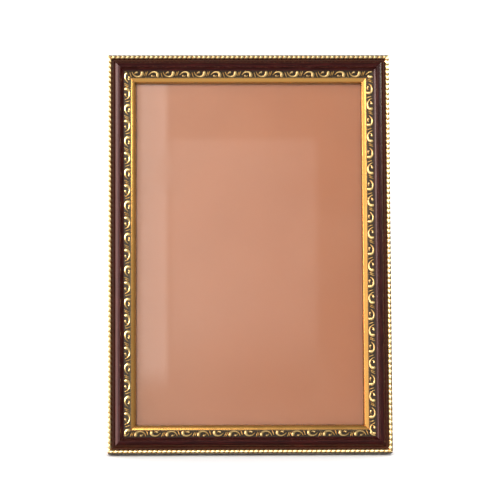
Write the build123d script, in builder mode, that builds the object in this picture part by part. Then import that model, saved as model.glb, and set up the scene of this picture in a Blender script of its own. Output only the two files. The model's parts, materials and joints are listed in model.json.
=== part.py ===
"""Glazed picture frame of swelled moulding, leaning back on its open easel strut.

The frame is drawn on its own leaning plane: across is world X, up the face is local Y, and local Z
points out of the front. The floor is the world XY plane, and the part's origin lies on it, midway
between the front of the moulding and the back of the strut's foot. All lengths are millimetres.
"""

import os
from math import cos, radians, sin, tan

from build123d import *

os.makedirs("parts", exist_ok=True)

# Sheets held in the rebate
glass_width = 203.2
glass_height = 304.8
glass_thickness = 2.0
glass_arris = 0.3
sheet_thickness = 0.6
board_thickness = 3.0
rebate_side_gap = 0.5
lip_cover = 4.0

# Widths across the moulding, from the outer edge inward
moulding_width = 25.0
rope_diameter = 4.0
rope_proud = 0.6
quirk_width = 1.7
swell_width = 5.3
cove_width = 3.3
strip_width = 6.2
fillet_drop_width = 1.0
fillet_wrap = 0.8

# Heights across the moulding, from its back to its front
rope_seat_height = 8.4
rope_flat_depth = 0.6
quirk_floor_height = 9.0
swell_foot_height = 10.2
swell_crown_height = 0.9
crest_height = 16.0
cove_hollow_depth = 0.45
cove_foot_height = 12.6
strip_outer_height = 12.3
strip_inner_height = 11.0
strip_thickness = 1.0
lip_thickness = 1.6
fillet_outer_height = 10.6
fillet_inner_height = 9.3
fillet_crown_height = 0.5
fillet_edge_height = 6.3

# V-nails pressed into the mitres from behind
nail_leg = 5.0
nail_thickness = 0.7
nail_depth = 7.0
nail_outer_inset = 6.5
nail_inner_inset = 12.5

# Turn buttons and their screws
button_inset = 13.5
button_spread = 92.0
button_head_radius = 5.2
button_tip_radius = 3.4
button_length = 14.0
button_thickness = 0.8
button_rib_width = 2.4
button_rib_length = 9.0
button_rib_height = 0.5
button_rib_start = 4.0
button_play = 0.05
screw_shank_radius = 1.4
screw_depth = 7.0
screw_head_radius = 2.7
screw_head_height = 1.5
screw_head_round = 1.0
screw_slot_width = 0.7
screw_slot_depth = 0.6
running_clearance = 0.05

# Rivets
rivet_shank_radius = 1.2
rivet_head_radius = 2.2
rivet_head_height = 0.8
rivet_head_round = 0.5
rivet_tail_radius = 2.0
rivet_tail_height = 0.7

# Strap hanger and its ring
hanger_below_top = 56.0
strap_width = 10.0
strap_length = 24.0
strap_thickness = 0.8
strap_corner = 2.0
ring_wire_radius = 0.9
ring_width = 21.0
ring_drop = 18.0
ring_bend_radius = 2.6
strap_upper_rivet = 7.5
strap_lower_rivet = 20.5

# Easel strut and its hinge
lean_angle = 15.0
strut_open_angle = 27.0
strap_to_leaf_gap = 41.0
leaf_width = 26.0
leaf_length = 26.0
leaf_thickness = 0.8
leaf_corner = 3.0
knuckle_wall = 0.75
moving_knuckle_width = 10.0
knuckle_side_gap = 0.2
leg_seat_gap = 0.2
pin_radius = 1.0
pin_end_radius = 1.5
pin_end_height = 0.5
leaf_rivet_spacing = 15.0
leaf_rivet_distance = 18.0
leg_thickness = 3.0
leg_top_width = 40.0
leg_foot_width = 64.0
leg_heel = 8.0
leg_corner = 3.0
foot_arch_width = 28.0
foot_arch_height = 5.0
stop_gap = 0.05

# Sizes that follow from the ones above
rebate_depth = glass_thickness + sheet_thickness + board_thickness
outer_width = glass_width + 2 * (moulding_width - lip_cover)
outer_height = glass_height + 2 * (moulding_width - lip_cover)
rebate_wall = moulding_width - lip_cover - rebate_side_gap
swell_start = rope_diameter + quirk_width
crest_place = swell_start + swell_width
strip_start = crest_place + cove_width
strip_end = strip_start + strip_width
fillet_drop_start = moulding_width - fillet_drop_width
fillet_wrap_start = moulding_width - fillet_wrap
rope_radius = rope_diameter / 2
rope_centre_height = rope_seat_height - rope_flat_depth + rope_radius
lip_top = rebate_depth + lip_thickness
knuckle_bore = pin_radius + running_clearance
knuckle_radius = knuckle_bore + knuckle_wall
leg_seat = knuckle_radius + leg_seat_gap
leg_face = leg_seat + leg_thickness
leaf_seat = leg_seat - leaf_thickness
leaf_neck = knuckle_radius + knuckle_side_gap + leg_seat_gap
strap_bore = ring_wire_radius + running_clearance
barrel_radius = strap_bore + strap_thickness

# The stand: how the leaning face, the strut and the floor meet
lean = radians(lean_angle)
splay = radians(strut_open_angle - lean_angle)
strut_hinge_height = outer_height - hanger_below_top - strap_length - strap_to_leaf_gap - leaf_length
hinge_rise = (strut_hinge_height - rope_proud) * cos(lean) - knuckle_radius * sin(lean)
hinge_back = strut_hinge_height * sin(lean) + knuckle_radius * cos(lean)
foot_reach = hinge_back + leg_face * cos(splay) + (hinge_rise + leg_face * sin(splay)) * tan(splay)
crest_reach = crest_height * cos(lean) - crest_place * sin(lean)
bottom_edge_y = (crest_reach - foot_reach) / 2
front_normal = Vector(0, -cos(lean), sin(lean))
face_plane = Plane(
    origin=(
        0,
        bottom_edge_y + outer_height / 2 * sin(lean),
        (outer_height / 2 - rope_proud) * cos(lean),
    ),
    x_dir=(1, 0, 0),
    z_dir=front_normal,
)
back_plane = Plane(origin=face_plane.origin, x_dir=(-1, 0, 0), z_dir=-front_normal)
hinge_point = Vector(0, bottom_edge_y + hinge_back, hinge_rise)
strut_plane = Plane(origin=hinge_point, x_dir=(-1, 0, 0), z_dir=(0, cos(splay), sin(splay)))

# Each rail's turn about the face, in degrees, and half the frame's size across it and along it
rail_turn_angles = {"bottom": 0, "right": 90, "top": 180, "left": 270}
rail_reaches = {
    "bottom": outer_height / 2,
    "right": outer_width / 2,
    "top": outer_height / 2,
    "left": outer_width / 2,
}
rail_half_lengths = {
    "bottom": outer_width / 2,
    "right": outer_height / 2,
    "top": outer_width / 2,
    "left": outer_height / 2,
}


def turned_face(side):
    """The face plane turned about its own normal, so that the rail lies along its bottom."""
    turn = radians(rail_turn_angles[side])
    along = face_plane.x_dir * cos(turn) + face_plane.y_dir * sin(turn)
    return Plane(origin=face_plane.origin, x_dir=along, z_dir=front_normal)


def section_plane(side):
    """The plane across a rail: X runs inward from its outer edge and Y runs out to the front."""
    turned = turned_face(side)
    edge = turned.from_local_coords((0, -rail_reaches[side], 0))
    return Plane(origin=edge, x_dir=turned.y_dir, z_dir=turned.x_dir)


def mitre_planes(side):
    """The two planes that cut a rail's ends at 45 degrees, each facing away from the rail."""
    turned = turned_face(side)
    planes = []
    for end in (-1, 1):
        corner = turned.from_local_coords((end * rail_half_lengths[side], -rail_reaches[side], 0))
        planes.append(Plane(origin=corner, z_dir=turned.x_dir * end + turned.y_dir))
    return planes


def save(part, name):
    """Labels a finished piece and writes it under its name."""
    part.label = name
    export_step(part, f"parts/{name}.step")


# Section of the wooden rail: seats for the rope and strip, swelled face, cove, lip and rebate
with BuildSketch() as rail_section:
    with BuildLine():
        Polyline(
            (rope_proud, 0),
            (rope_proud, rope_seat_height),
            (rope_diameter, rope_seat_height),
            (rope_diameter, quirk_floor_height),
            (swell_start, quirk_floor_height),
            (swell_start, swell_foot_height),
        )
        SagittaArc((swell_start, swell_foot_height), (crest_place, crest_height), -swell_crown_height)
        SagittaArc((crest_place, crest_height), (strip_start, cove_foot_height), cove_hollow_depth)
        Polyline(
            (strip_start, cove_foot_height),
            (strip_start, strip_outer_height - strip_thickness),
            (strip_end, strip_inner_height - strip_thickness),
            (strip_end, lip_top),
            (fillet_wrap_start, lip_top),
            (fillet_wrap_start, rebate_depth),
            (rebate_wall, rebate_depth),
            (rebate_wall, 0),
            (rope_proud, 0),
        )
    make_face()

# Section of the rope bead: a round with a flat underside
with BuildSketch() as rope_section:
    with Locations((rope_radius, rope_centre_height)):
        Circle(rope_radius)
    with Locations((rope_radius, rope_seat_height)):
        Rectangle(
            rope_diameter,
            rope_diameter,
            align=(Align.CENTER, Align.MAX),
            mode=Mode.SUBTRACT,
        )

# Section of the scroll strip's ground, sloping towards the glass
with BuildSketch() as strip_section:
    with BuildLine():
        Polyline(
            (strip_start, strip_outer_height - strip_thickness),
            (strip_start, strip_outer_height),
            (strip_end, strip_inner_height),
            (strip_end, strip_inner_height - strip_thickness),
            close=True,
        )
    make_face()

# Section of the sight fillet: a crowned face that turns down over the rail's lip to the glass
with BuildSketch() as fillet_section:
    with BuildLine():
        Polyline((strip_end, lip_top), (strip_end, fillet_outer_height))
        SagittaArc(
            (strip_end, fillet_outer_height),
            (fillet_drop_start, fillet_inner_height),
            -fillet_crown_height,
        )
        Polyline(
            (fillet_drop_start, fillet_inner_height),
            (moulding_width, fillet_edge_height),
            (moulding_width, rebate_depth),
            (fillet_wrap_start, rebate_depth),
            (fillet_wrap_start, lip_top),
            (strip_end, lip_top),
        )
    make_face()

# Outline of the V-nails: two at each corner, legs along the rails, points on the mitre
with BuildSketch() as nail_section:
    for across in (-1, 1):
        for up in (-1, 1):
            for inset in (nail_outer_inset, nail_inner_inset):
                corner_x = across * (outer_width / 2 - inset)
                corner_y = up * (outer_height / 2 - inset)
                leg_end_x = corner_x - across * nail_leg
                leg_end_y = corner_y - up * nail_leg
                inner_x = corner_x - across * nail_thickness
                inner_y = corner_y - up * nail_thickness
                with BuildLine():
                    Polyline(
                        (corner_x, corner_y),
                        (leg_end_x, corner_y),
                        (leg_end_x, inner_y),
                        (inner_x, inner_y),
                        (inner_x, leg_end_y),
                        (corner_x, leg_end_y),
                        close=True,
                    )
                make_face()

# Each turn button: its rail and its place along the rail from the middle
button_places = {
    "left_upper": ("left", -button_spread),
    "left_lower": ("left", button_spread),
    "right_upper": ("right", button_spread),
    "right_lower": ("right", -button_spread),
    "top": ("top", 0),
    "bottom": ("bottom", 0),
}


def button_plane(place):
    """The plane on the rail's back at a button's pivot: Y runs inward, Z runs out of the back."""
    side, along = button_places[place]
    turned = turned_face(side)
    pivot = turned.from_local_coords((along, button_inset - rail_reaches[side], 0))
    return Plane(origin=pivot, x_dir=-turned.x_dir, z_dir=-front_normal)


button_planes = {place: button_plane(place) for place in button_places}

# Rails, each with its V-nail slits and its screw holes
for side, half_length in rail_half_lengths.items():
    with BuildPart() as rail:
        with BuildSketch(section_plane(side)):
            add(rail_section.sketch)
        extrude(amount=half_length, both=True)
        for cut in mitre_planes(side):
            split(bisect_by=cut, keep=Keep.BOTTOM)
        with BuildSketch(face_plane):
            add(nail_section.sketch)
        extrude(amount=nail_depth, mode=Mode.SUBTRACT)
        for place, (rail_name, _) in button_places.items():
            if rail_name == side:
                with BuildSketch(button_planes[place]):
                    Circle(screw_shank_radius)
                extrude(amount=-screw_depth, mode=Mode.SUBTRACT)
    save(rail.part, f"rail_{side}")

# Rope beads, scroll strips and sight fillets, mitred like the rails
mitred_sections = {
    "rope_bead": rope_section,
    "scroll_strip": strip_section,
    "sight_fillet": fillet_section,
}
for strip_name, section in mitred_sections.items():
    for side, half_length in rail_half_lengths.items():
        with BuildPart() as strip:
            with BuildSketch(section_plane(side)):
                add(section.sketch)
            extrude(amount=half_length, both=True)
            for cut in mitre_planes(side):
                split(bisect_by=cut, keep=Keep.BOTTOM)
        save(strip.part, f"{strip_name}_{side}")

# Glass pane, with its sharp edges taken off
with BuildPart() as glass_pane:
    with BuildSketch(face_plane.offset(rebate_depth - glass_thickness)):
        Rectangle(glass_width, glass_height)
    extrude(amount=glass_thickness)
    chamfer(glass_pane.edges(), glass_arris)
save(glass_pane.part, "glass_pane")

# Plain tan sheet that fills the picture's place
with BuildPart() as picture_sheet:
    with BuildSketch(face_plane.offset(board_thickness)):
        Rectangle(glass_width, glass_height)
    extrude(amount=sheet_thickness)
save(picture_sheet.part, "picture_sheet")

# Places on the back, in back plane coordinates
hanger_axis_up = outer_height / 2 - hanger_below_top
hinge_axis_up = strut_hinge_height - outer_height / 2
hanger_rivet_places = [
    (0, hanger_axis_up - strap_upper_rivet),
    (0, hanger_axis_up - strap_lower_rivet),
]
leaf_rivet_places = [
    (-leaf_rivet_spacing / 2, hinge_axis_up + leaf_rivet_distance),
    (leaf_rivet_spacing / 2, hinge_axis_up + leaf_rivet_distance),
]

# Hardboard backing board, with holes for the rivets and sinkings for their tails
with BuildPart() as backing_board:
    with BuildSketch(face_plane):
        Rectangle(glass_width, glass_height)
    extrude(amount=board_thickness)
    with BuildSketch(back_plane):
        with Locations(*hanger_rivet_places, *leaf_rivet_places):
            Circle(rivet_shank_radius)
    extrude(amount=-board_thickness, mode=Mode.SUBTRACT)
    with BuildSketch(back_plane.offset(rivet_tail_height - board_thickness)):
        with Locations(*hanger_rivet_places, *leaf_rivet_places):
            Circle(rivet_tail_radius)
    extrude(amount=-rivet_tail_height, mode=Mode.SUBTRACT)
save(backing_board.part, "backing_board")

# V-nails
with BuildPart() as corner_v_nails:
    with BuildSketch(face_plane):
        add(nail_section.sketch)
    extrude(amount=nail_depth)
save(corner_v_nails.part, "corner_v_nails")

# Turn buttons: a tapered plate round the screw, with a pressed finger rib
for place, plane in button_planes.items():
    with BuildPart() as turn_button:
        with BuildSketch(plane.offset(button_play)):
            Circle(button_head_radius)
            with Locations((0, button_length)):
                Circle(button_tip_radius)
            make_hull()
            Circle(screw_shank_radius + running_clearance, mode=Mode.SUBTRACT)
        extrude(amount=button_thickness)
        with BuildSketch(plane.offset(button_play + button_thickness)):
            with Locations((0, button_rib_start + button_rib_length / 2)):
                SlotOverall(button_rib_length, button_rib_width, rotation=90)
        extrude(amount=button_rib_height)
    save(turn_button.part, f"turn_button_{place}")

# Screws of the turn buttons, slotted and round headed
head_seat = button_thickness + 2 * button_play
with BuildPart() as turn_button_screws:
    for plane in button_planes.values():
        with BuildSketch(plane.offset(-screw_depth)):
            Circle(screw_shank_radius)
        extrude(amount=screw_depth + head_seat)
        with BuildSketch(plane.offset(head_seat)):
            Circle(screw_head_radius)
        extrude(amount=screw_head_height)
        crown = turn_button_screws.faces(Select.LAST).sort_by(Axis(plane.origin, plane.z_dir))[-1]
        fillet(crown.edges(), screw_head_round)
        with BuildSketch(plane.offset(head_seat + screw_head_height - screw_slot_depth)):
            Rectangle(2 * screw_head_radius, screw_slot_width)
        extrude(amount=screw_slot_depth, mode=Mode.SUBTRACT)
save(turn_button_screws.part, "turn_button_screws")


def rivet_solids(plane, places, grip, tail_height, tail_radius):
    """Round-headed rivets on a plane: heads outside, shanks through the grip, tails at its far side."""
    with BuildPart() as rivets:
        with BuildSketch(plane):
            with Locations(*places):
                Circle(rivet_head_radius)
        extrude(amount=rivet_head_height)
        crowns = rivets.faces().group_by(Axis(plane.origin, plane.z_dir))[-1]
        fillet(crowns.edges(), rivet_head_round)
        with BuildSketch(plane):
            with Locations(*places):
                Circle(rivet_shank_radius)
        extrude(amount=-grip)
        with BuildSketch(plane.offset(-grip)):
            with Locations(*places):
                Circle(tail_radius)
        extrude(amount=tail_height)
    return rivets.part


# Strap hanger: a plate on the board, folded round the ring's straight side
hanger_point = back_plane.from_local_coords((0, hanger_axis_up, barrel_radius))
barrel_plane = Plane(origin=hanger_point, x_dir=back_plane.y_dir, z_dir=back_plane.x_dir)
with BuildPart() as hanger_strap:
    with BuildSketch(back_plane):
        with Locations((0, hanger_axis_up)):
            Rectangle(strap_width, strap_length, align=(Align.CENTER, Align.MAX))
    extrude(amount=strap_thickness)
    low_edges = (
        hanger_strap.edges()
        .filter_by(Axis(back_plane.origin, back_plane.z_dir))
        .group_by(Axis(back_plane.origin, back_plane.y_dir))[0]
    )
    fillet(low_edges, strap_corner)
    with BuildSketch(barrel_plane):
        Circle(barrel_radius)
    extrude(amount=strap_width / 2, both=True)
    with BuildSketch(barrel_plane):
        Circle(strap_bore)
    extrude(amount=strap_width / 2, both=True, mode=Mode.SUBTRACT)
    with BuildSketch(back_plane):
        with Locations(*hanger_rivet_places):
            Circle(rivet_shank_radius)
    extrude(amount=strap_thickness, mode=Mode.SUBTRACT)
save(hanger_strap.part, "hanger_strap")

hanger_rivets = rivet_solids(
    back_plane.offset(strap_thickness),
    hanger_rivet_places,
    strap_thickness + board_thickness,
    rivet_tail_height,
    rivet_tail_radius,
)
save(hanger_rivets, "hanger_rivets")

# Triangular hanging ring, plumb, with its straight side in the strap's barrel
ring_plane = Plane(origin=hanger_point, x_dir=(1, 0, 0), z_dir=(0, -1, 0))
with BuildPart() as hanger_ring:
    with BuildLine(ring_plane) as ring_line:
        FilletPolyline(
            (ring_width / 2, 0),
            (0, -ring_drop),
            (-ring_width / 2, 0),
            radius=ring_bend_radius,
            close=True,
        )
    ring_start = ring_line.line @ 0
    with BuildSketch(Plane(origin=ring_start, z_dir=ring_line.line % 0)):
        Circle(ring_wire_radius)
    sweep()
save(hanger_ring.part, "hanger_ring")

# Fixed leaf of the strut's hinge: a plate above the axis with a knuckle on each side
side_knuckle_width = (leaf_width - moving_knuckle_width) / 2 - knuckle_side_gap
side_knuckle_middle = (leaf_width - side_knuckle_width) / 2
knuckle_plane = Plane(origin=hinge_point, x_dir=back_plane.y_dir, z_dir=back_plane.x_dir)
with BuildPart() as strut_fixed_leaf:
    with BuildSketch(back_plane):
        with Locations((0, hinge_axis_up + leaf_neck)):
            Rectangle(leaf_width, leaf_length - leaf_neck, align=(Align.CENTER, Align.MIN))
    extrude(amount=leaf_thickness)
    high_edges = (
        strut_fixed_leaf.edges()
        .filter_by(Axis(back_plane.origin, back_plane.z_dir))
        .group_by(Axis(back_plane.origin, back_plane.y_dir))[-1]
    )
    fillet(high_edges, leaf_corner)
    with BuildSketch(back_plane):
        for across in (-side_knuckle_middle, side_knuckle_middle):
            with Locations((across, hinge_axis_up)):
                Rectangle(side_knuckle_width, leaf_neck, align=(Align.CENTER, Align.MIN))
    extrude(amount=leaf_thickness)
    for across in (-side_knuckle_middle, side_knuckle_middle):
        with BuildSketch(knuckle_plane.offset(across)):
            Circle(knuckle_radius)
        extrude(amount=side_knuckle_width / 2, both=True)
    with BuildSketch(knuckle_plane):
        Circle(knuckle_bore)
    extrude(amount=leaf_width / 2, both=True, mode=Mode.SUBTRACT)
    with BuildSketch(back_plane):
        with Locations(*leaf_rivet_places):
            Circle(rivet_shank_radius)
    extrude(amount=leaf_thickness, mode=Mode.SUBTRACT)
save(strut_fixed_leaf.part, "strut_fixed_leaf")

strut_leaf_rivets = rivet_solids(
    back_plane.offset(leaf_thickness),
    leaf_rivet_places,
    leaf_thickness + board_thickness,
    rivet_tail_height,
    rivet_tail_radius,
)
save(strut_leaf_rivets, "strut_leaf_rivets")

# Hinge pin, its ends spread
with BuildPart() as strut_hinge_pin:
    with BuildSketch(knuckle_plane):
        Circle(pin_radius)
    extrude(amount=leaf_width / 2 + running_clearance, both=True)
    for end in (-1, 1):
        end_plane = knuckle_plane.offset(end * (leaf_width / 2 + running_clearance))
        with BuildSketch(end_plane):
            Circle(pin_end_radius)
        extrude(amount=end * pin_end_height)
save(strut_hinge_pin.part, "strut_hinge_pin")

# Moving leaf, under the leg, with the middle knuckle
leg_rivet_places = [
    (-leaf_rivet_spacing / 2, -leaf_rivet_distance),
    (leaf_rivet_spacing / 2, -leaf_rivet_distance),
]
with BuildPart() as strut_moving_leaf:
    with BuildSketch(strut_plane.offset(leaf_seat)):
        with Locations((0, -leaf_neck)):
            Rectangle(leaf_width, leaf_length - leaf_neck, align=(Align.CENTER, Align.MAX))
    extrude(amount=leaf_thickness)
    foot_edges = (
        strut_moving_leaf.edges()
        .filter_by(Axis(strut_plane.origin, strut_plane.z_dir))
        .group_by(Axis(strut_plane.origin, strut_plane.y_dir))[0]
    )
    fillet(foot_edges, leaf_corner)
    with BuildSketch(strut_plane.offset(leaf_seat)):
        Rectangle(moving_knuckle_width, leaf_neck, align=(Align.CENTER, Align.MAX))
    extrude(amount=leaf_thickness)
    with BuildSketch(knuckle_plane):
        Circle(knuckle_radius)
    extrude(amount=moving_knuckle_width / 2, both=True)
    with BuildSketch(knuckle_plane):
        Circle(knuckle_bore)
    extrude(amount=moving_knuckle_width / 2, both=True, mode=Mode.SUBTRACT)
    with BuildSketch(strut_plane.offset(leaf_seat)):
        with Locations(*leg_rivet_places):
            Circle(rivet_shank_radius)
    extrude(amount=leaf_thickness, mode=Mode.SUBTRACT)
save(strut_moving_leaf.part, "strut_moving_leaf")

# Hardboard leg: flared to the foot, cut level on the floor and bevelled at the heel, where its
# top bears on the fixed leaf and stops the strut from opening further
leg_length = (hinge_rise + leg_face * sin(splay)) / cos(splay)
with BuildPart() as strut_leg:
    with BuildSketch(strut_plane.offset(leg_seat)):
        with BuildLine():
            Polyline(
                (-leg_top_width / 2, leg_heel),
                (leg_top_width / 2, leg_heel),
                (leg_foot_width / 2, -leg_length),
                (-leg_foot_width / 2, -leg_length),
                close=True,
            )
        make_face()
        with BuildLine():
            ThreePointArc(
                (-foot_arch_width / 2, -leg_length),
                (0, foot_arch_height - leg_length),
                (foot_arch_width / 2, -leg_length),
            )
            Line((foot_arch_width / 2, -leg_length), (-foot_arch_width / 2, -leg_length))
        make_face(mode=Mode.SUBTRACT)
    extrude(amount=leg_thickness)
    heel_edges = (
        strut_leg.edges()
        .filter_by(Axis(strut_plane.origin, strut_plane.z_dir))
        .group_by(Axis(strut_plane.origin, strut_plane.y_dir))[-1]
    )
    fillet(heel_edges, leg_corner)
    with BuildSketch(strut_plane.offset(leg_seat)):
        with Locations(*leg_rivet_places):
            Circle(rivet_shank_radius)
    extrude(amount=leg_thickness, mode=Mode.SUBTRACT)
    split(bisect_by=Plane.XY, keep=Keep.TOP)
    split(bisect_by=back_plane.offset(leaf_thickness + stop_gap), keep=Keep.TOP)
save(strut_leg.part, "strut_leg")

strut_leg_rivets = rivet_solids(
    strut_plane.offset(leg_face),
    leg_rivet_places,
    leg_thickness + leaf_thickness + rivet_tail_height,
    rivet_tail_height,
    rivet_tail_radius,
)
save(strut_leg_rivets, "strut_leg_rivets")
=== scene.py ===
"""Looks of a glazed picture frame in gilt-edged maroon moulding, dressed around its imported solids.

Moulding, rope, scrolls and hardware are drawn in millimetres in a rail's or the face's own axes,
and each finished mesh is then placed in the frame's metres.
"""

import json
import logging
import math
from contextlib import contextmanager
from dataclasses import dataclass, field
from enum import Enum
from functools import reduce
from typing import Callable, Iterable, Iterator, Sequence

import bmesh
import bpy
from mathutils import Matrix, Vector
from mathutils.geometry import tessellate_polygon

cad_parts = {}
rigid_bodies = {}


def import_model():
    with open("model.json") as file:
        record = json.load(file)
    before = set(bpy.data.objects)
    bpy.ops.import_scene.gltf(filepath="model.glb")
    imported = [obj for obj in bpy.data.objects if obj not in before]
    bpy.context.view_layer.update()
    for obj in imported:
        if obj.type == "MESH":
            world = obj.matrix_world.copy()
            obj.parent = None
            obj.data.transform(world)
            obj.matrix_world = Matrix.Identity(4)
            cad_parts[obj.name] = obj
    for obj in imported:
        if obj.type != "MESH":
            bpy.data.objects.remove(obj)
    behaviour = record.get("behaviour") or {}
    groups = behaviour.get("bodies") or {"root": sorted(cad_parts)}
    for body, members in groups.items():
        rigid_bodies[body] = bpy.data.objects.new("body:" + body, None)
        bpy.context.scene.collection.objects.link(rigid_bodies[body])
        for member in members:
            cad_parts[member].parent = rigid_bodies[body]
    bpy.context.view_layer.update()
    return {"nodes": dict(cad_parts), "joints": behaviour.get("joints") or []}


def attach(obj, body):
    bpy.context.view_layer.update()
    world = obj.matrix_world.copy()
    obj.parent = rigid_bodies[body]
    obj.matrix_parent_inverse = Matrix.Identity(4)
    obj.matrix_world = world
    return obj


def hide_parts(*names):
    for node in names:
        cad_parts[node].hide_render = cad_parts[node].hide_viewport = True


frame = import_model()

log = logging.getLogger("frame_looks")

Point = tuple[float, float]
Triple = tuple[float, float, float]
Colour = tuple[float, float, float, float]
Sockets = dict[str, tuple[str, ...]]

# A millimetre, and how close two vertices are to be one, both in metres
MM = 0.001
WELD = 1e-6
# How close to a cutting plane a vertex lies on it, in millimetres
CUT = 1e-5
# How many digits of two normals agree on one flat face
NORMAL_DIGITS = 3
# The levels between which nearly all cloudy noise lies
NOISE_SPAN = (0.2, 0.8)
# The standard display curve: its top value, the end and slope of its foot, its offset and power
DISPLAY_TOP = 255
CURVE_KNEE = 0.04045
CURVE_FOOT = 12.92
CURVE_OFFSET = 0.055
CURVE_POWER = 2.4


def colour(red: int, green: int, blue: int) -> Colour:
    """Turns a display colour into the light values that a shader takes.

    Args:
        red: Display red, 0 to 255.
        green: Display green, 0 to 255.
        blue: Display blue, 0 to 255.

    Returns:
        Red, green, blue and full opacity, in linear light.
    """

    def linear(value: int) -> float:
        """Turns one channel into linear light.

        Args:
            value: The channel, 0 to 255.

        Returns:
            Its light, 0 to 1.
        """
        share = value / DISPLAY_TOP
        if share <= CURVE_KNEE:
            return share / CURVE_FOOT
        return ((share + CURVE_OFFSET) / (1 + CURVE_OFFSET)) ** CURVE_POWER

    return (linear(red), linear(green), linear(blue), 1.0)


@contextmanager
def reworked(
    source: bpy.types.Mesh, target: bpy.types.Mesh | None = None, merged: bool = False
) -> Iterator[bmesh.types.BMesh]:
    """Opens a mesh for work, and writes the result when the work is done.

    Args:
        source: The mesh to start from.
        target: The mesh that takes the result, or None where nothing is kept.
        merged: Whether vertices in one place are made one first.

    Yields:
        The open mesh.
    """
    work = bmesh.new()
    work.from_mesh(source)
    if merged:
        bmesh.ops.remove_doubles(work, verts=work.verts, dist=WELD)
    yield work
    if target is not None:
        work.to_mesh(target)
    work.free()


class RailSide(Enum):
    """The four rails, each by its turn about the face in degrees."""

    BOTTOM = 0
    RIGHT = 90
    TOP = 180
    LEFT = 270

    @property
    def word(self) -> str:
        """The side's word, as the nodes' names have it."""
        return self.name.lower()

    @property
    def upright(self) -> bool:
        """True for the two long rails."""
        return self in (RailSide.LEFT, RailSide.RIGHT)


@dataclass(frozen=True)
class FaceAxes:
    """The leaning face's own axes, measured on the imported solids.

    Attributes:
        middle: The middle of the moulding's back plane, in metres.
        across: Unit direction to the viewer's right.
        up: Unit direction up the face.
        normal: Unit direction out of the front.
        width: The frame's whole width, in millimetres.
        height: The frame's whole height along the face, in millimetres.
    """

    middle: Vector
    across: Vector
    up: Vector
    normal: Vector
    width: float
    height: float

    @classmethod
    def measured(cls) -> "FaceAxes":
        """Reads the axes from a turn button's joint and from the rope and board solids.

        Returns:
            The axes.
        """
        turn = next(j for j in frame["joints"] if j["name"] == "turn_button_top_turn")
        normal = -Vector(turn["axis"]).normalized()
        across = Vector((1, 0, 0))
        up = normal.cross(across)
        ropes = [f"rope_bead_{side.word}" for side in RailSide]
        left, right = cls.reach(ropes, across)
        low, high = cls.reach(ropes, up)
        back = cls.reach(["backing_board"], normal)[0]
        middle = across * (left + right) / 2 + up * (low + high) / 2 + normal * back
        return cls(middle, across, up, normal, (right - left) / MM, (high - low) / MM)

    @staticmethod
    def reach(nodes: Iterable[str], axis: Vector) -> tuple[float, float]:
        """How far nodes reach along an axis.

        Args:
            nodes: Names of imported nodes.
            axis: Unit direction.

        Returns:
            The least and the greatest distance along the axis, in metres.
        """
        reaches = [v.co.dot(axis) for n in nodes for v in frame["nodes"][n].data.vertices]
        return min(reaches), max(reaches)

    def placed(self, x_axis: Vector, y_axis: Vector, z_axis: Vector, origin: Vector) -> Matrix:
        """A matrix that places millimetres drawn on the given axes at an origin in metres."""
        turned = Matrix((x_axis, y_axis, z_axis)).transposed().to_4x4()
        return Matrix.Translation(origin) @ turned @ Matrix.Scale(MM, 4)

    def on_face(self) -> Matrix:
        """Places a drawing of the whole face: X across, Y up, Z out of the front."""
        return self.placed(self.across, self.up, self.normal, self.middle)

    def on_plate(self, node: str) -> Matrix:
        """Places a drawing of a flat packed plate's back: X to its right, Y up it, Z out of it.

        Args:
            node: The plate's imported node.

        Returns:
            The matrix from the drawing's millimetres to the frame.
        """
        areas = {}
        for face in frame["nodes"][node].data.polygons:
            if face.normal.dot(self.normal) < 0:
                key = tuple(round(n, NORMAL_DIGITS) for n in face.normal)
                areas.setdefault(key, []).append(face)
        widest = max(areas.values(), key=lambda faces: sum(f.area for f in faces))
        outward = widest[0].normal.copy()
        return self.placed(-self.across, outward.cross(-self.across), outward, self.middle)

    def half_length(self, side: RailSide) -> float:
        """Half a rail's length at its outer edge, in millimetres."""
        return (self.height if side.upright else self.width) / 2

    def on_rail(self, side: RailSide) -> Matrix:
        """Places a drawing of one rail: X along it, Y inward from its outer edge, Z to the front.

        Args:
            side: The rail.

        Returns:
            The matrix from the drawing's millimetres to the frame.
        """
        turn = math.radians(side.value)
        along = self.across * math.cos(turn) + self.up * math.sin(turn)
        inward = self.normal.cross(along)
        reach = (self.width if side.upright else self.height) / 2
        return self.placed(along, inward, self.normal, self.middle - inward * reach * MM)


class Direction(Enum):
    """Which way a tree's own sockets pass values."""

    IN = "INPUT"
    OUT = "OUTPUT"


class Blend(Enum):
    """How one colour is laid over another."""

    MIX = "MIX"
    MULTIPLY = "MULTIPLY"


def open_sockets(tree: bpy.types.NodeTree, direction: Direction, sockets: Sockets) -> None:
    """Gives a tree its named sockets.

    Args:
        tree: The tree.
        direction: Whether they are its inputs or its outputs.
        sockets: The sockets' names by their kind, such as Float or Color.
    """
    for kind, labels in sockets.items():
        for label in labels:
            tree.interface.new_socket(label, in_out=direction.value, socket_type=f"NodeSocket{kind}")


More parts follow.
